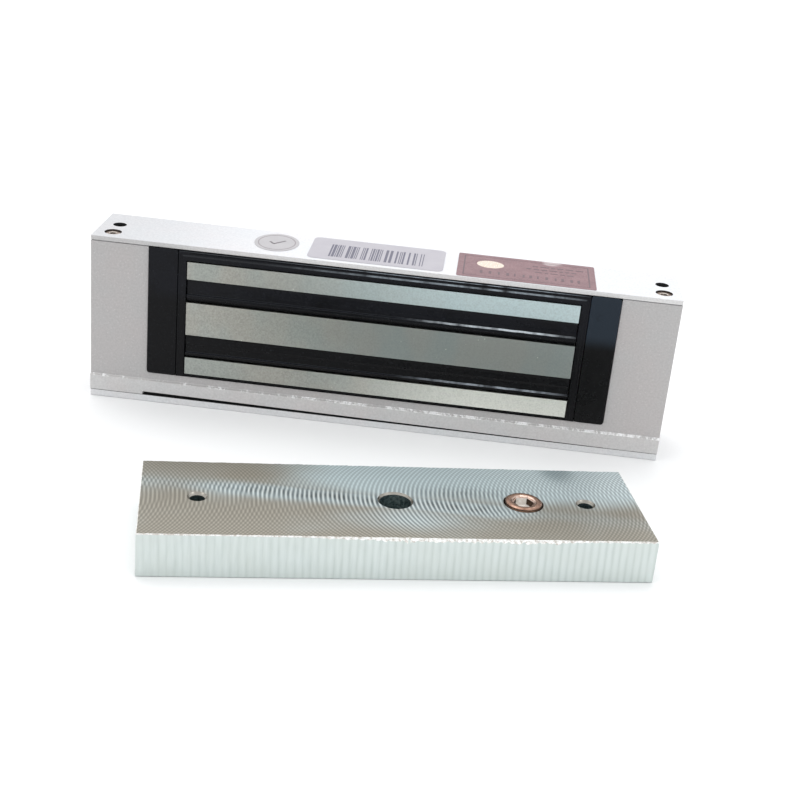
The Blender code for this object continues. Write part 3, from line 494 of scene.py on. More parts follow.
def sticker(name, light, dark):
    """Printed vinyl: nearly even, with faint fibres and handling marks."""
    paint = Paint(name, light, 0.38)
    clouds = paint.speckle(0.009, 4.0, 0.6)
    fibres = paint.speckle(0.0007, stretch=(0.3, 1.0, 1.0))
    base = paint.mixed(clouds.remap(0.35, 0.65), dark, light)
    paint.tint(fibres.remap(0.3, 0.7, 0.0, 0.25), base, dark)
    paint.roughen(clouds, 0.30, 0.50)
    paint.bump(fibres, 0.08, 0.00003)
    return paint.material


def worn_seal():
    """Mauve security vinyl, faded in patches and scuffed pale at its rear edge."""
    paint = Paint("seal_mauve", srgb(184, 146, 150), 0.40)
    clouds = paint.speckle(0.008, 4.0, 0.65)
    base = paint.mixed(clouds.remap(0.3, 0.7), srgb(116, 80, 86), srgb(136, 100, 104))
    down = (paint.axis(0) - 0.012) * (1 / 0.006)
    back = (paint.axis(1) - 0.0150) * (1 / 0.005)
    scuff = (clouds * 1.2 + down * down + back * back).ease(0.7, 1.4, 0.6, 0.0)
    paint.tint(scuff, base, srgb(208, 196, 196))
    weave = paint.speckle(0.0009)
    paint.roughen(weave, 0.34, 0.52)
    paint.bump(weave, 0.12, 0.00003)
    return paint.material


def socket_reflection():
    """Matt metal inside the button's hexagon, painted pale where it faces up and forward, as painted
    reflection.
    """
    paint = Paint("socket_bright", srgb(226, 216, 208), 0.50, 0.10)
    stains = paint.speckle(0.0012, 3.0)
    paint.tint(stains.remap(0.3, 0.7), srgb(236, 228, 218), srgb(254, 250, 244))
    paint.roughen(stains, 0.55, 0.40)
    paint.bump(stains, 0.1, 0.00003)
    return paint.material


def seal_foil():
    """The seal's warm, ringed foil spot."""
    paint = Paint("seal_foil", srgb(226, 208, 192), 0.24, 0.35)
    paint.tint(paint.speckle(0.0035), srgb(232, 204, 182), srgb(224, 218, 206))
    paint.roughen(paint.speckle(0.001), 0.16, 0.30)
    rings = paint.node("ShaderNodeTexWave", 0, {"Vector": paint.place, "Scale": 500.0}, wave_type="RINGS")
    paint.bump(rings, 0.2, 0.00004)
    return paint.material


# ================================================================ mesh tools
def add_object(name, mesh):
    thing = bpy.data.objects.new(name, mesh)
    bpy.context.scene.collection.objects.link(thing)
    return thing


def from_bmesh(name, made):
    bmesh.ops.recalc_face_normals(made, faces=made.faces)
    mesh = bpy.data.meshes.new(name)
    made.to_mesh(mesh)
    made.free()
    return add_object(name, mesh)


def settle(piece):
    """Apply the piece's modifiers to its mesh."""
    graph = bpy.context.evaluated_depsgraph_get()
    mesh = bpy.data.meshes.new_from_object(piece.evaluated_get(graph))
    piece.modifiers.clear()
    earlier = piece.data
    piece.data = mesh
    if earlier.users == 0:
        bpy.data.meshes.remove(earlier)


def merge(piece, other, operation="DIFFERENCE"):
    """Cut the other shape out of the piece, or join it on, and drop the other shape."""
    modifier = piece.modifiers.new(operation, "BOOLEAN")
    modifier.operation = operation
    modifier.solver = "EXACT"
    modifier.object = other
    settle(piece)
    bpy.data.objects.remove(other, do_unlink=True)
    return piece


def soften(piece, width, segments=3, angle=35):
    """Round the piece's sharp edges."""
    modifier = piece.modifiers.new("edges", "BEVEL")
    modifier.width = width
    modifier.segments = segments
    modifier.limit_method = "ANGLE"
    modifier.angle_limit = math.radians(angle)
    modifier.harden_normals = True
    return piece


def fillet(points, radius, steps=4):
    """A closed outline with each of its corners turned into a short curve."""
    points = [Vector(point) for point in points]
    rounded = []
    for before, corner, after in zip(points[-1:] + points[:-1], points, points[1:] + points[:1]):
        back, ahead = before - corner, after - corner
        reach = radius / math.tan(back.angle(ahead) / 2)
        reach = min(reach, 0.45 * back.length, 0.45 * ahead.length)
        start, stop = corner + back.normalized() * reach, corner + ahead.normalized() * reach
        for step in range(steps + 1):
            t = step / steps
            rounded.append((1 - t) ** 2 * start + 2 * t * (1 - t) * corner + t * t * stop)
    return rounded


def rectangle(width, height, x=0.0, y=0.0):
    corners = ((1, 1), (-1, 1), (-1, -1), (1, -1))
    return [Vector((x + sx * width / 2, y + sy * height / 2)) for sx, sy in corners]


def circle(radius, x=0.0, y=0.0, sides=48, stretch=1.0):
    angles = [2 * math.pi * step / sides for step in range(sides)]
    return [Vector((x + radius * math.cos(a), y + radius * stretch * math.sin(a))) for a in angles]


def from_curve(curve, lines, closed, gap):
    """Draw lines on a curve and return its filled or bevelled shape; points nearer than gap are joined."""
    for line in lines:
        spline = curve.splines.new("POLY")
        spline.points.add(len(line) - 1)
        spline.use_cyclic_u = closed
        for point, place in zip(spline.points, line):
            point.co = Vector(place).to_4d()
    holder = add_object(curve.name, curve)
    graph = bpy.context.evaluated_depsgraph_get()
    mesh = bpy.data.meshes.new_from_object(holder.evaluated_get(graph))
    bpy.data.objects.remove(holder, do_unlink=True)
    bpy.data.curves.remove(curve)
    made = bmesh.new()
    made.from_mesh(mesh)
    bpy.data.meshes.remove(mesh)
    bmesh.ops.remove_doubles(made, verts=made.verts, dist=gap)
    return made


def sheet(name, outlines, thickness, matrix):
    """A flat shape with holes, thickened both ways from its plane."""
    curve = bpy.data.curves.new(name, "CURVE")
    curve.dimensions = "2D"
    curve.fill_mode = "BOTH"
    curve.extrude = thickness / 2
    made = from_curve(curve, outlines, True, 1e-6)
    bmesh.ops.dissolve_limit(made, angle_limit=math.radians(0.5), verts=made.verts, edges=made.edges)
    made.transform(matrix)
    return from_bmesh(name, made)


def turned(name, profile, centre=(0, 0), sides=64, phase=0.0):
    """A solid of revolution about an upright axis through centre, from (radius, height) points."""
    made = bmesh.new()
    rings = []
    for radius, height in profile:
        if radius == 0:
            rings.append([made.verts.new((centre[0], centre[1], height))])
            continue
        ring = []
        for step in range(sides):
            angle = phase + 2 * math.pi * step / sides
            ring.append(made.verts.new((centre[0] + radius * math.cos(angle),
                                        centre[1] + radius * math.sin(angle), height)))
        rings.append(ring)
    closed = rings if profile[0][0] == 0 else rings + rings[:1]
    for upper, lower in zip(closed, closed[1:]):
        for step in range(sides):
            after = (step + 1) % sides
            if len(upper) == 1:
                made.faces.new((upper[0], lower[step], lower[after]))
            elif len(lower) == 1:
                made.faces.new((upper[step], lower[0], upper[after]))
            else:
                made.faces.new((upper[step], lower[step], lower[after], upper[after]))
    return from_bmesh(name, made)


def skin(made, rings):
    """Join each ring of points to the next with four-sided faces."""
    for ring, following in zip(rings, rings[1:]):
        for step in range(len(ring)):
            after = (step + 1) % len(ring)
            made.faces.new((ring[step], ring[after], following[after], following[step]))


def inset(outline, distance):
    """The outline drawn in by a distance, for an anticlockwise outline."""
    drawn = []
    for before, point, after in zip(outline[-1:] + outline[:-1], outline, outline[1:] + outline[:1]):
        along = (after - before).normalized()
        drawn.append(point + distance * Vector((-along.y, along.x)))
    return drawn


def bar(name, outline, low, high, spacing, edge, adjust=None):
    """A solid along X with rounded ends; adjust may move each point of each section a little."""
    ends = [(edge * (1 - math.sin(a)), edge * (1 - math.cos(a)))
            for a in (math.pi / 2 * step / 3 for step in (3, 2, 1))]
    count = max(1, round((high - low - 2 * edge) / spacing))
    inner = [(low + edge + (high - low - 2 * edge) * step / count, 0.0) for step in range(count + 1)]
    stations = ([(low + x, depth) for x, depth in ends] + inner
                + [(high - x, depth) for x, depth in reversed(ends)])
    made = bmesh.new()
    rings = []
    for x, depth in stations:
        section = inset(outline, depth) if depth else outline
        points = [Vector((x, point.x, point.y)) for point in section]
        rings.append([made.verts.new(adjust(point) if adjust else point) for point in points])
    skin(made, rings)
    made.faces.new(list(reversed(rings[0])))
    made.faces.new(rings[-1])
    return from_bmesh(name, made)


def surround(name, inner, outer, front, section, spacing):
    """A frame round a rectangular opening; section gives (share of the width outwards, depth) points."""
    corners = []
    for x, z in ((2, 3), (0, 3), (0, 1), (2, 1)):
        corners.append([Vector((inner[x] + (outer[x] - inner[x]) * share, front + depth,
                                inner[z] + (outer[z] - inner[z]) * share)) for share, depth in section])
    made = bmesh.new()
    rings = []
    for start, stop in zip(corners, corners[1:] + corners[:1]):
        count = max(1, round((stop[0] - start[0]).length / spacing))
        for step in range(count):
            rings.append([made.verts.new(a.lerp(b, step / count)) for a, b in zip(start, stop)])
    skin(made, rings + rings[:1])
    return from_bmesh(name, made)


def block(name, low, high):
    """A plain box, used to cut other shapes."""
    centre, size = (Vector(low) + Vector(high)) / 2, Vector(high) - Vector(low)
    made = bmesh.new()
    bmesh.ops.create_cube(made, size=1.0, matrix=Matrix.Translation(centre) @ Matrix.Diagonal((*size, 1)))
    return from_bmesh(name, made)


def wire(name, points, radius, resolution=4):
    """A round wire through the points, with closed ends."""
    curve = bpy.data.curves.new(name, "CURVE")
    curve.dimensions = "3D"
    curve.fill_mode = "FULL"
    curve.bevel_depth = radius
    curve.bevel_resolution = resolution
    curve.use_fill_caps = True
    return from_bmesh(name, from_curve(curve, [points], False, 1e-7))


def show(piece, name, body, materials, nodes=(), choose=None, matrix=None, smooth=32):
    """Finish a piece: name, smooth shading, materials, the body it rides on and the nodes it stands for."""
    piece.name = name
    piece.data.name = name
    piece.data.materials.clear()
    for material in materials:
        piece.data.materials.append(material)
    for face in piece.data.polygons:
        face.use_smooth = True
        face.material_index = choose(face.center, face.normal) if choose else 0
    piece.data.set_sharp_from_angle(angle=math.radians(smooth))
    even = piece.modifiers.new("even_shading", "WEIGHTED_NORMAL")
    even.keep_sharp = True
    if matrix is not None:
        piece.matrix_world = matrix
    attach(piece, body)
    if nodes:
        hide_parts(*nodes)
    return piece


def wear(node_name, material):
    """Give a CAD node that stays in view a better material."""
    kept = frame["nodes"][node_name]
    kept.data.materials.clear()
    kept.data.materials.append(material)


# ================================================================ lock body
def bore_shade():
    """The unlit walls of the through holes: raw drilled metal, painted near black as painted shade."""
    return moulded("bore_shade", srgb(34, 34, 36), srgb(22, 22, 24), 0.6, 0.002)


# Index 1, the painted shade, for the walls of the spare bores beside the body screws.
def in_spare_bore(centre, normal):
    away = math.hypot(abs(centre.x) - middle("body_screw_right").x, centre.y - SPARE_Y)
    return 1 if away < SPARE_RADIUS + 0.0002 and abs(normal.z) < 0.5 else 0


def make_housing():
    proud = HOUSING_LOW.y
    profile = [(BACK, HOUSING_LOW.z), (BACK, HOUSING_HIGH.z), (FRONT, HOUSING_HIGH.z),
               (FRONT, FLANGE_TOP + LEDGE), (proud, FLANGE_TOP - LEDGE), (proud, HOUSING_LOW.z)]

    def ragged_ledge(point):
        """The flange's upper ledge is sawn a little unevenly."""
        if point.y < FRONT + EDGE and abs(point.z - FLANGE_TOP) < 3 * LEDGE:
            sway = noise.noise(Vector((point.x * 420, point.z * 300, 2.0)))
            point.z += 0.00016 * sway
        return point

    outline = fillet(profile, EDGE, 3)
    housing = bar("housing_bar", outline, -END, END, 0.0008, 0.00035, ragged_ledge)
    merge(housing, block("cavity", (-CHAMBER_END, FRONT + WALL_FRONT, FLOOR_TOP),
                         (CHAMBER_END, BACK - WALL_BACK, COVER_HIGH.z + 0.01)))
    window_height = 0.09
    window = sheet("window", [fillet(rectangle(2 * WINDOW_HALF, window_height), 0.0015)], 0.010,
                   Matrix.Translation((0, FRONT, WINDOW_BOTTOM + window_height / 2)) @ ALONG_Y)
    merge(housing, window)
    relief = block("relief", (-0.108, FRONT - 0.01, 0), (0.108, FRONT + 0.007, HOUSING_LOW.z + 0.001))
    for corner in relief.data.vertices:
        if corner.co.z > HOUSING_LOW.z:
            corner.co.z = HOUSING_LOW.z + (0.0017 if corner.co.x < 0 else 0.0002)
    merge(housing, relief)
    cup = CUP_RADIUS + CUP_WALL + GAP
    nut = 0.0041
    top = COVER_HIGH.z + 0.01
    for side in ("left", "right"):
        at = middle(f"body_screw_{side}")
        stepped = [(0, top), (cup, top), (cup, COVER_LOW.z - GAP), (SHANK_RADIUS, COVER_LOW.z - GAP),
                   (SHANK_RADIUS, 0.0091), (nut, 0.0091), (nut, 0), (0, 0)]
        merge(housing, turned("screw_bore", stepped, at.xy, 48))
        merge(housing, turned("spare_bore", [(0, top), (SPARE_RADIUS, top), (SPARE_RADIUS, 0), (0, 0)],
                              (at.x, SPARE_Y), 48))
    cable = middle("cable_grommet")
    merge(housing, turned("cable_hole", [(0, 0.012), (0.0048, 0.012), (0.0048, 0), (0, 0)], cable.xy, 48))

    def which(centre, normal):
        # Index 2: the flange's upper ledge, painted with a broken white highlight.
        if centre.y < FRONT + 0.0004 and abs(centre.z - FLANGE_TOP) < 2 * LEDGE and normal.z > 0.3:
            return 2
        # Index 3: the flange's front, painted lighter than the housing front as painted light.
        if centre.y < FRONT - 0.0009 and normal.y < -0.5:
            return 3
        return in_spare_bore(centre, normal)

    # The housing's silver is painted lighter towards its right end, as painted light.
    paint = silver_coat("housing_silver", srgb(178, 175, 175), srgb(167, 164, 164), 0.12, right=1.08)
    # A lighter copy of the housing silver for the flange front, as painted light.
    flange = silver_coat("flange_silver", srgb(200, 198, 198), srgb(189, 187, 187), 0.12)
    show(housing, "housing_shell", "lock", [paint, bore_shade(), ledge_glint(), flange],
         ["housing"], which)


def make_cover():
    holes = []
    for side in ("left", "right"):
        at = middle(f"body_screw_{side}")
        holes += [circle(CUP_RADIUS, *at.xy), circle(SPARE_RADIUS, at.x, SPARE_Y)]
    thickness = COVER_HIGH.z - COVER_UNDER
    outline = fillet(rectangle(2 * END, BACK - FRONT, 0, (FRONT + BACK) / 2), 0.0006)
    cover = sheet("cover", [outline, *holes], thickness,
                  Matrix.Translation((0, 0, COVER_UNDER + thickness / 2)))
    settle(soften(cover, 0.00035))
    for side in ("left", "right"):
        at = middle(f"body_screw_{side}")
        inner, outer = CUP_RADIUS + 0.00005, CUP_RADIUS + CUP_WALL
        cup = turned("cup", [(inner, COVER_UNDER + 0.0004), (outer, COVER_UNDER + 0.0004),
                             (outer, COVER_LOW.z), (SHANK_RADIUS, COVER_LOW.z),
                             (SHANK_RADIUS, CUP_FLOOR_TOP), (inner - 0.0004, CUP_FLOOR_TOP),
                             (inner, CUP_FLOOR_TOP + 0.0004)], at.xy, 48)
        merge(cover, cup, "UNION")

    def which(centre, normal):
        screw = middle("body_screw_right")
        away = math.hypot(abs(centre.x) - screw.x, centre.y - screw.y)
        # Index 3: the cup's walls and floor, painted dark as painted shade.
        if away < CUP_RADIUS + 0.0003 and centre.z < COVER_HIGH.z - 0.0002:
            return 3
        # Index 2: the front edge, a slightly darker copy of the top's silver as painted shade.
        if normal.y < -0.5 and centre.y < FRONT + 0.001:
            return 2
        return in_spare_bore(centre, normal)

    # The cover's silver is a lighter copy of the housing's silver, as painted light from above, and is
    # painted darker towards its left end as painted shade.
    paint = silver_coat("cover_silver", srgb(226, 226, 229), srgb(216, 216, 220), 0.10, left=0.76)
    # The cover's front edge: a slightly darker copy of the cover's silver as painted shade, darker still at
    # its left end.
    edge = silver_coat("cover_edge_silver", srgb(219, 217, 217), srgb(208, 206, 206), 0.08, left=0.70)
    # The cup's inside, painted dark brown as painted shade.
    cup_wall = moulded("cup_shade", srgb(74, 64, 58), srgb(48, 42, 39), 0.5, 0.001)
    show(cover, "cover_plate", "lock", [paint, bore_shade(), edge, cup_wall], ["top_cover"],
         which)


def make_base():
    holes = [fillet(rectangle(0.016, 0.0062, x, -0.004), 0.003, 8) for x in (-0.060, 0.060)]
    for side in ("left", "right"):
        at = middle(f"body_screw_{side}")
        holes += [circle(0.0034, *at.xy), circle(SPARE_RADIUS, at.x, SPARE_Y)]
    cable = middle("cable_grommet")
    holes.append(circle(0.0062, *cable.xy))
    depth = BASE_HIGH.y - BASE_LOW.y
    outline = fillet(rectangle(2 * END, depth, 0, (BASE_HIGH.y + BASE_LOW.y) / 2), 0.0006)
    base = sheet("base", [outline, *holes], BASE_HIGH.z, Matrix.Translation((0, 0, BASE_HIGH.z / 2)))
    settle(soften(base, 0.0004))
    for x in (-0.100, -0.020, 0.020, 0.090):
        merge(base, turned("countersink", [(0, 0.01), (0.0026, 0.01), (0.0026, 0.0022), (0.0052, -0.0004),
                                           (0, -0.0004)], (x, 0.006), 48))
    paint = silver_coat("plate_silver", srgb(219, 219, 221), srgb(208, 208, 210), 0.08)
    # The plate's top, seen only in the gap under the housing, is painted dark as painted shade.
    show(base, "base_plate", "lock", [paint, bore_shade()], ["mounting_plate"],
         lambda centre, normal: 1 if normal.z > 0.9 else 0)


def make_fixings():
    steel = mottled_metal("screw_steel", srgb(168, 148, 134), srgb(92, 78, 70), 0.28, 0.0010)
    # Painted light in the hex sockets: forward and upward faces painted pale as painted highlight, the side
    # faces painted dark as painted shade.
    bright = mottled_metal("screw_socket_bright", srgb(240, 232, 224), srgb(206, 194, 184), 0.45, 0.0008)
    dark = mottled_metal("screw_socket_dark", srgb(72, 60, 54), srgb(40, 34, 31), 0.40, 0.0008)
    for side in ("left", "right"):
        low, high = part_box(f"body_screw_{side}")
        at = (low + high) / 2
        head, shank = (high.x - low.x) / 2, 0.00195
        under = high.z - 0.004
        profile = [(0, high.z), (head - 0.0006, high.z), (head - 0.0002, high.z - 0.00018),
                   (head, high.z - 0.0006), (head, under), (shank, under)]
        threads, pitch = 90, 0.0007
        for turn in range(threads):
            height = under - 0.0012 - turn * pitch / 2
            profile.append((shank if turn % 2 else shank - 0.00022, height))
        profile += [(shank - 0.0003, low.z), (0, low.z)]
        screw = turned("screw", profile, at.xy, 48)
        socket = 0.0030 / 2 / math.cos(math.pi / 6)
        merge(screw, turned("socket", [(0, high.z + 0.001), (socket + 0.00125, high.z + 0.001),
                                       (socket, high.z - 0.00025), (socket, high.z - 0.0024),
                                       (0, high.z - 0.0030)], at.xy, 6))

        # Index 1 for socket faces painted as highlight, 2 for those painted as shade.
        def which(centre, normal):
            if math.hypot(centre.x - at.x, centre.y - at.y) > socket + 0.0001 or centre.z < high.z - 0.0032:
                return 0
            if normal.z > 0.95:
                return 1 if centre.z < high.z - 0.002 else 0
            return 1 if normal.y < -0.8 or normal.z > 0.3 else 2

        show(screw, f"screw_{side}", "lock", [steel, bright, dark], [f"body_screw_{side}"],
             which)


def make_core():
    legs = []
    for side in ("lower", "upper"):
        low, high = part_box(f"slot_cover_{side}")
        legs.append(((low.z + high.z - SLOT_HEIGHT) / 2, (low.z + high.z + SLOT_HEIGHT) / 2))
    slot_back = 0.0030
    face = CORE_LOW.y
    (low_a, low_b), (high_a, high_b) = legs
    profile = [(CORE_HIGH.y, CORE_LOW.z), (CORE_HIGH.y, CORE_HIGH.z), (face, CORE_HIGH.z), (face, high_b),
               (slot_back, high_b), (slot_back, high_a), (face, high_a), (face, low_b), (slot_back, low_b),
               (slot_back, low_a), (face, low_a), (face, CORE_LOW.z)]
    core = bar("core", fillet(profile, 0.00022, 2), CORE_LOW.x, CORE_HIGH.x, 0.02, 0.0002)
    show(core, "pole_core", "lock", [pole_steel()], ["laminated_core"], smooth=50)


def make_mouldings():
    """The black rim with its raised beads, the slot strips and the two end blocks."""
    black = black_plastic("black_moulding", srgb(18, 19, 24), srgb(12, 12, 14))
    # The rim bead's painted highlight line.
    line = edge_highlight_line("rim_line", srgb(142, 152, 160), -0.060, 0.030, 0.095)
    front, depth = RIM_LOW.y, RIM_HIGH.y - RIM_LOW.y
    inner = (-CORE_HIGH.x - GAP, CORE_LOW.z - GAP, CORE_HIGH.x + GAP, CORE_HIGH.z + GAP)
    outer = (RIM_LOW.x, RIM_LOW.z, RIM_HIGH.x, RIM_HIGH.z)
    section = [(0, depth), (0, 0.0003), (0.03, 0.0001), (0.08, 0), (0.46, 0), (0.50, 0.0001),
               (0.56, 0.0005), (0.60, 0.0006), (0.76, 0.0006), (0.80, 0.00045), (0.86, 0.0002),
               (0.90, 0.0002), (0.95, 0.0005), (0.98, 0.0005), (1, 0.0005), (1, depth)]
    rim = surround("rim", inner, outer, front, section, 0.0040)
    for vertex in rim.data.vertices:
        if abs(vertex.co.x) > inner[2] and vertex.co.y < front + 0.002:
            vertex.co.y = front + 0.15 * (vertex.co.y - front)

    # Index 1: the upward and forward faces of the upper bead, which carry the painted highlight.
    def on_bead(centre, normal):
        return 1 if centre.z > CORE_HIGH.z + 0.0006 and normal.z > 0.3 and normal.y < -0.2 else 0

    show(rim, "pole_rim", "lock", [black, line], ["face_frame"], on_bead)

    for side, ledge, bulge in (("upper", -0.0019, 0.00010), ("lower", -0.0033, 0.00035)):
        low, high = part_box(f"slot_cover_{side}")
        z = (low.z + high.z) / 2
        recess = low.y + 0.0009
        profile = [(high.y, low.z), (high.y, high.z), (recess, high.z), (recess - bulge, z + 0.0040),
                   (recess - bulge, z + 0.0012), (recess, z + 0.0002), (recess, z + ledge + 0.0004),
                   (low.y, z + ledge), (low.y, z + ledge - 0.0012), (recess, low.z + 0.0002)]

        def uneven(point):
            if abs(point.z - z - ledge) < 0.0010:
                sway = noise.noise(Vector((point.x * 260, z * 900, 5.0)))
                point.z += 0.00014 * sway
            return point

        # Index 1: the upward faces of the ledge, which carry the painted highlight.
        def on_ledge(centre, normal):
            return 1 if abs(centre.z - z - ledge) < 0.0006 and normal.z > 0.3 and normal.y < 0 else 0

        strip = bar("strip", fillet(profile, 0.00025, 4), low.x, high.x, 0.0012, 0.0002, uneven)
        # Colours of the ledges' painted highlight lines.
        bright = srgb(210, 218, 224) if side == "upper" else srgb(160, 168, 176)
        gleam = edge_highlight_line(f"{side}_strip_line", bright, 0.005, 0.045, 0.092)
        show(strip, f"slot_strip_{side}", "lock", [black, gleam], [f"slot_cover_{side}"],
             on_ledge)

    # The right end block: a copy of the black plastic whose upper part is painted bluish as painted
    # reflection.
    black_painted_reflection = black_plastic("blue_black_moulding", srgb(36, 44, 53), srgb(10, 10, 11), 0.28)
    for side, material in (("left", black), ("right", black_painted_reflection)):
        low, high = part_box(f"end_block_{side}")
        size, at = high - low, (low + high) / 2
        end = sheet("end", [fillet(rectangle(size.x, size.z), 0.0013, 6)], size.y,
                    Matrix.Translation(at) @ ALONG_Y)
        settle(soften(end, 0.00025, 3))
        show(end, f"window_block_{side}", "lock", [material], [f"end_block_{side}"])


# ================================================================ labels
def ink(name, marks, z, body_matrix, material):
    """Thin printed marks, given as closed outlines, just above a label."""
    made = bmesh.new()
    for outline in marks:
        lower = [made.verts.new((point.x, point.y, z - INK)) for point in outline]
        upper = [made.verts.new((point.x, point.y, z)) for point in outline]
        made.faces.new(upper)
        made.faces.new(list(reversed(lower)))
        skin(made, [lower, upper])
    show(from_bmesh(name, made), name, "lock", [material], matrix=body_matrix)


def ring_marks(radius, width, stretch, pieces=40):
    """An oval ring as short four-sided strokes."""
    marks = []
    for step in range(pieces):
        first, second = (2 * math.pi * (step + shift) / pieces for shift in (0, 1))
        corners = ((radius, first), (radius + width, first), (radius + width, second), (radius, second))
        marks.append([Vector((r * math.cos(a), r * stretch * math.sin(a))) for r, a in corners])
    return marks


def stroke(start, stop, width):
    start, stop = Vector(start), Vector(stop)
    along = (stop - start).normalized()
    side = Vector((-along.y, along.x)) * width / 2
    return [start - side, stop - side, stop + side, start + side]


def make_labels():
    tops = {}
    vinyls = {
        "label_oval": sticker("label_grey", srgb(181, 178, 180), srgb(168, 165, 168)),
        "label_barcode": sticker("label_lilac", srgb(180, 177, 183), srgb(168, 164, 172)),
        "label_seal": worn_seal(),
    }
    for name, vinyl in vinyls.items():
        low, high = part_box(name)
        size, at = high - low, (low + high) / 2
        thickness = size.z - INK
        if name == "label_oval":
            outline = circle(size.x / 2, 0, 0, 64, size.y / size.x)
        else:
            corner = 0.0035 if name == "label_barcode" else 0.0012
            outline = fillet(rectangle(size.x, size.y), corner, 6)
        matrix = Matrix.Translation((at.x, at.y, low.z + thickness / 2))
        label = sheet(name, [outline], thickness, Matrix.Identity(4))
        show(label, f"{name}_sheet", "lock", [vinyl], [name], matrix=matrix)
        tops[name] = (matrix, thickness / 2 + INK, size)

    matrix, z, size = tops["label_oval"]
    faint = sticker("ink_faint", srgb(146, 138, 142), srgb(132, 124, 128))
    dark = sticker("ink_dark", srgb(104, 96, 100), srgb(84, 76, 82))
    ring = ring_marks(0.40 * size.x, 0.0005, size.y / size.x)
    tick = [stroke((-0.0032, 0.0003), (-0.0010, -0.0026), 0.0010),
            stroke((-0.0012, -0.0027), (0.0036, 0.0034), 0.0010)]
    ink("label_oval_ring", ring, z, matrix, faint)
    ink("label_oval_tick", tick, z, matrix, dark)

    matrix, z, size = tops["label_barcode"]
    bar_ink = sticker("ink_bars", srgb(92, 90, 110), srgb(74, 72, 92))
    draw = random.Random(7)
    bars, x = [], -0.35 * size.x
    while x < 0.35 * size.x:
        width = draw.choice((0.0004, 0.0004, 0.0008, 0.0012))
        bars.append(stroke((x + width / 2, -0.36 * size.y), (x + width / 2, 0.22 * size.y), width))
        x += width + draw.choice((0.0004, 0.0004, 0.0008, 0.0016))
    ink("label_barcode_bars", bars, z, matrix, bar_ink)

    matrix, z, size = tops["label_seal"]
    seal_ink = sticker("ink_plum", srgb(96, 68, 76), srgb(80, 54, 62))
    reach_x, reach_y = size.x / 2 - 0.0030, size.y / 2 - 0.0028
    marks = [stroke((sx * reach_x, -reach_y), (sx * reach_x, reach_y), 0.0006) for sx in (-1, 1)]
    marks += [stroke((-reach_x, sy * reach_y), (reach_x, sy * reach_y), 0.00035) for sy in (-1, 1)]
    rows = ((0.1, 0.80, 0.0012), (0.0, 0.74, 0.0012), (0.14, 0.70, 0.0010))
    for row, (start, stop, height) in enumerate(rows):
        y = 0.0080 - row * 0.0042
        x = start * reach_x
        while x < stop * reach_x:
            length = draw.uniform(0.0014, 0.0040)
            marks.append(stroke((x, y), (x + length, y), height))
            x += length + 0.0011
    x = -0.72 * reach_x
    while x < 0.86 * reach_x:
        marks.append(stroke((x, -0.0062), (x, -0.0098), draw.choice((0.0008, 0.0012))))
        x += draw.choice((0.0032, 0.0040))
    ink("label_seal_print", marks, z, matrix, seal_ink)

    spot = circle(0.0062, -0.0165, 0.0035, 48, 0.85)
    ink("label_seal_hologram", [spot], z, matrix, seal_foil())


# ================================================================ armature
def plate_matrix():
    """The plate's own frame: its centre at floor level, turned so that its length is X."""
    centre = (PLATE_LOW + PLATE_HIGH) / 2
    towards = middle("ejector_button") - centre
    yaw = math.atan2(towards.y, towards.x)
    return Matrix.Translation((centre.x, centre.y, 0)) @ Matrix.Rotation(yaw, 4, "Z"), yaw


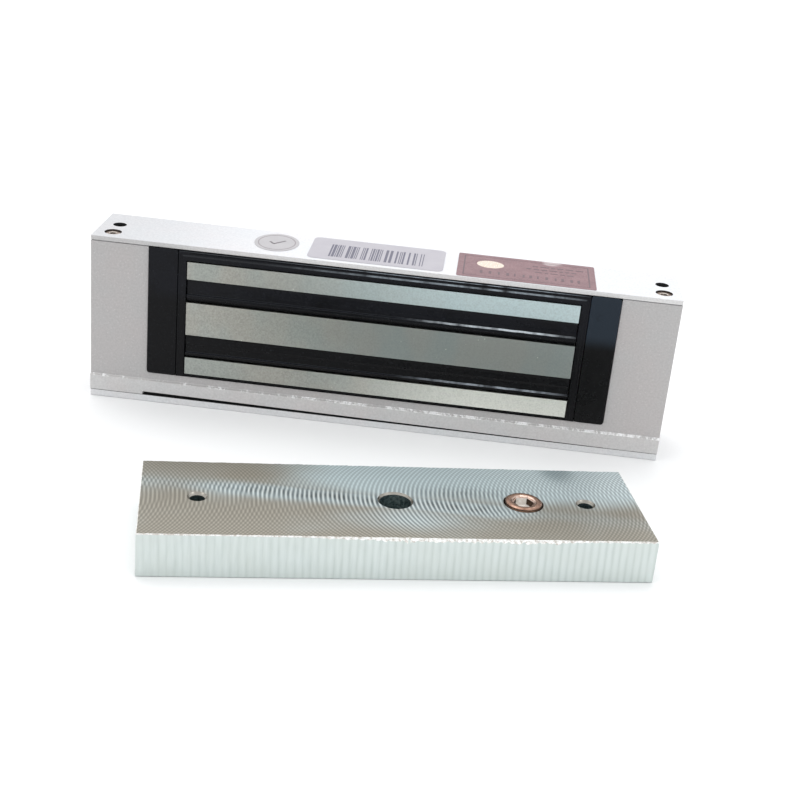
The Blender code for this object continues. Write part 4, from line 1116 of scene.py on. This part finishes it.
def make_armature():
    matrix, yaw = plate_matrix()
    wide, deep, top = PLATE_HIGH - PLATE_LOW
    cos, sin = math.cos(yaw), math.sin(yaw)
    length = (wide * cos - deep * sin) / (cos * cos - sin * sin)
    width = (deep * cos - wide * sin) / (cos * cos - sin * sin)
    button_x = (matrix.inverted() @ middle("ejector_button")).x
    half = width / 2

    def tool_marks(point):
        """Shallow upright scallops along the long sides and a torn burr along their top edges."""
        x, y, z = point
        phase = math.pi * (x + SIDE_SLANT * z / top) / SIDE_PITCH + SIDE_SWAY * math.sin(x * SIDE_DRIFT)
        scallop = abs(math.sin(phase))
        torn = noise.noise(Vector((x * 260, y * 40, 3.0))) + 0.6 * noise.noise(Vector((x * 800, y, 4.0)))
        if z > top - 0.5 * chamfer:
            if abs(y) > half - 2 * chamfer:
                y -= math.copysign(0.00015 + 0.00025 * max(torn, -0.5), y)
        elif z > top - 1.5 * chamfer:
            z -= 0.00008 * (1 + max(torn, -1))
        elif abs(y) > half - 0.0001:
            swell = min(1.0, max(0.12, (x + 0.045) / 0.045)) * min(1.0, max(0.25, (0.085 - x) / 0.030))
            if z > top / 2:
                z += BURR - swell * (0.0006 + 0.0014 * max(0.0, torn) + 0.0006 * scallop)
            y -= math.copysign(0.00008 + 0.00006 * (1 - scallop), y)
        return Vector((x, y, z))

    chamfer = 0.0003
    outline = [Vector(point) for point in (
        (half, chamfer), (half, top - chamfer - BURR), (half, top - chamfer), (half - chamfer, top),
        (-half + chamfer, top), (-half, top - chamfer), (-half, top - chamfer - BURR), (-half, chamfer),
        (-half + chamfer, 0), (half - chamfer, 0))]
    plate = bar("plate", outline, -length / 2, length / 2, 0.0004, 0.0003, tool_marks)
    made = bmesh.new()
    made.from_mesh(plate.data)
    flat = [edge for edge in made.edges if all(abs(face.normal.z) > 0.9999 for face in edge.link_faces)]
    bmesh.ops.dissolve_limit(made, angle_limit=math.radians(0.1), verts=[], edges=flat)
    made.to_mesh(plate.data)
    made.free()

    above = top + 0.002
    wide_bore, bore, rim = 0.0063, 0.0043, 0.0008
    merge(plate, turned("centre_hole", [
        (0, above), (wide_bore + rim + 0.002, above), (wide_bore, top - rim), (wide_bore, top / 2 + 0.0004),
        (wide_bore - 0.0004, top / 2), (bore + 0.0004, top / 2), (bore, top / 2 - 0.0004), (bore, -0.002),
        (0, -0.002)]))
    for x in (-PIN_X, PIN_X):
        merge(plate, turned("pin_hole", [(0, above), (0.0060, above), (0.0040, top + 0.0001),
                                         (0.0036, top - 0.0006), (0.0030, top - 0.0011), (0.0030, -0.002),
                                         (0, -0.002)], (x, 0)))
    seat = (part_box("ejector_button")[1].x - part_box("ejector_button")[0].x) / 2 + GAP
    merge(plate, turned("button_bore", [
        (0, above), (seat + 0.0023, above), (seat, top - 0.0003), (seat, 0.0070), (0.0028, 0.0070),
        (0.0028, 0.0040), (0.0055, 0.0040), (0.0055, -0.002), (0, -0.002)], (button_x, 0)))

    holes = ((0, wide_bore + rim), (-PIN_X, 0.0042), (PIN_X, 0.0042), (button_x, seat + 0.0003))

    def which(centre, normal):
        for x, radius in holes:
            if math.hypot(centre.x - x, centre.y) < radius and normal.z < 0.999:
                return 4 if normal.z > 0.2 else 3
        if normal.z > 0.98:
            return 0
        # Index 2: the faces near the top edges, which carry the painted highlight along the burr.
        if centre.z > top - 0.0014:
            return 2
        return 1

    bores = mottled_metal("drilled_zinc", srgb(176, 194, 196), srgb(84, 102, 105), 0.38, 0.0014)
    seats = drilled("countersunk_zinc", srgb(176, 172, 164), srgb(142, 138, 130), 0.30)
    finishes = [milled_face(), sawn_side(top), burr_highlight(), bores, seats]
    show(plate, "armature_body", "armature", finishes, ["armature_plate"], which, matrix, 25)
    return matrix, button_x


def make_ejector(matrix, button_x):
    low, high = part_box("ejector_button")
    radius, top, under = (high.x - low.x) / 2, high.z, high.z - 0.0080
    profile = [(0, top - 0.0005), (radius - 0.0036, top - 0.0005), (radius - 0.0031, top - 0.0004),
               (radius - 0.0026, top - 0.0001), (radius - 0.0022, top), (radius - 0.0012, top),
               (radius - 0.0006, top - 0.00012), (radius - 0.0002, top - 0.0004), (radius, top - 0.0008),
               (radius, under + 0.0003), (radius - 0.0003, under), (0.0025, under), (0.0025, 0.0039),
               (0.0020, 0.0039), (0.0020, 0.0023), (0.0025, 0.0023), (0.0025, low.z + 0.0004),
               (0.0021, low.z), (0, low.z)]
    button = turned("button", profile, (button_x, 0))
    corner = 0.0074 / 2 / math.cos(math.pi / 6)
    socket = turned("socket", [(0, top + 0.001), (corner + 0.0014, top + 0.001), (corner, top - 0.0008),
                               (corner, top - 0.0034), (0, top - 0.0038)], (button_x, 0), 6)
    merge(button, socket)
    bronze = mottled_metal("button_bronze", srgb(180, 146, 128), srgb(130, 100, 85), 0.30, 0.0018)
    # Painted light on the button: forward and upward faces of the hexagon painted pale as painted
    # reflection, the inner bevel painted pale as painted highlight, and the socket's side faces and outer
    # rim painted dark as painted shade.
    bright = socket_reflection()
    shiny = mottled_metal("button_inner_edge", srgb(226, 206, 194), srgb(186, 158, 144), 0.30, 0.0010)
    dark = mottled_metal("socket_dark", srgb(92, 76, 64), srgb(62, 50, 42), 0.45, 0.0010)

    # Index 1 painted reflection, 2 painted highlight, 3 painted shade.
    def which(centre, normal):
        away = math.hypot(centre.x - button_x, centre.y)
        if centre.z < top - 0.0050 or away > radius - 0.0003:
            return 3 if away > radius - 0.0003 and centre.z > top - 0.003 else 0
        if away < corner + 0.0001 and centre.z < top - 0.0007:
            return 1 if normal.z > 0.5 or normal.y < -0.8 else 3
        if normal.z < 0.97 and away < radius - 0.0022:
            return 2
        return 0

    show(button, "button", "ejector", [bronze, bright, shiny, dark], ["ejector_button"],
         which, matrix)

    clip_low, clip_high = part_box("ejector_clip")
    inner, outer = 0.0023, (clip_high.y - clip_low.y) / 2
    opening = math.radians(24)
    arc = [opening + (2 * math.pi - 2 * opening) * step / 48 for step in range(49)]
    outline = [Vector((button_x + outer * math.cos(a), outer * math.sin(a))) for a in arc]
    for a in reversed(arc):
        lobe = inner + 0.0007 * (0.5 - 0.5 * math.cos(3 * (a - math.pi)))
        outline.append(Vector((button_x + lobe * math.cos(a), lobe * math.sin(a))))
    clip = sheet("clip", [outline], clip_high.z - clip_low.z,
                 Matrix.Translation((0, 0, (clip_high.z + clip_low.z) / 2)))
    soften(clip, 0.0001, 2)
    blued = mottled_metal("clip_steel", srgb(112, 114, 122), srgb(72, 74, 82), 0.32)
    show(clip, "clip", "ejector", [blued], ["ejector_clip"], matrix=matrix)

    low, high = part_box("ejector_spring")
    thick = 0.0004
    coil = (high.x - low.x) / 2 - thick
    turns, steps = 3, 36
    points = []
    for step in range(turns * steps + 1):
        share = step / (turns * steps)
        ease = min(1.0, max(0.0, (share - 0.12) / 0.76))
        angle = 2 * math.pi * step / steps
        points.append((button_x + coil * math.cos(angle), coil * math.sin(angle),
                       low.z + thick + (high.z - low.z - 2 * thick) * ease))
    spring = wire("spring", points, thick)
    drawn = drilled("spring_wire", srgb(186, 188, 190), srgb(142, 144, 146), 0.26)
    show(spring, "spring", "armature", [drawn], ["ejector_spring"], matrix=matrix)
    travel = next(joint["range_m"][1] for joint in frame["joints"] if joint["name"] == "ejector_slide")
    1 - travel / (high.z - low.z)
    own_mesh(spring)


# ================================================================ pieces inside the lock
def dress_inner_nodes():
    nut = drilled("nut_steel", srgb(206, 206, 202), srgb(160, 160, 156), 0.34)
    brass = mottled_metal("terminal_steel", srgb(214, 212, 204), srgb(164, 160, 150), 0.30, 0.0008)
    resin = moulded("black_resin", srgb(40, 40, 43), srgb(26, 26, 28), 0.42, 0.004)
    finishes = {
        "rivet_nut_left": nut,
        "rivet_nut_right": nut,
        "coil_bobbin": moulded("bobbin_nylon", srgb(226, 220, 204), srgb(208, 200, 182), 0.45),
        "coil_winding": wound_copper(),
        "potting_block": resin,
        "filler_block_left": resin,
        "board_carrier": moulded("carrier_plastic", srgb(236, 234, 228), srgb(222, 219, 211), 0.48),
        "control_board": circuit_board(),
        "terminal_block": moulded("terminal_green", srgb(46, 146, 84), srgb(34, 122, 68), 0.40),
        "varistor": moulded("varistor_blue", srgb(52, 104, 178), srgb(40, 84, 152), 0.30),
        "flyback_diode": moulded("diode_black", srgb(44, 44, 46), srgb(28, 28, 30), 0.34),
        "voltage_jumper": moulded("jumper_red", srgb(188, 40, 38), srgb(158, 30, 30), 0.36),
        "coil_lead_plus": moulded("lead_red", srgb(178, 34, 34), srgb(150, 26, 26), 0.40),
        "coil_lead_minus": moulded("lead_black", srgb(40, 40, 42), srgb(26, 26, 28), 0.42),
        "cable_grommet": moulded("grommet_rubber", srgb(42, 42, 42), srgb(26, 26, 26), 0.70),
    }
    for number in (1, 2, 3):
        finishes[f"terminal_screw_{number}"] = brass
    for name, material in finishes.items():
        wear(name, material)


make_camera()
make_studio()
make_housing()
make_cover()
make_base()
make_fixings()
make_core()
make_mouldings()
make_labels()
plate_place, button_place = make_armature()
make_ejector(plate_place, button_place)
dress_inner_nodes()
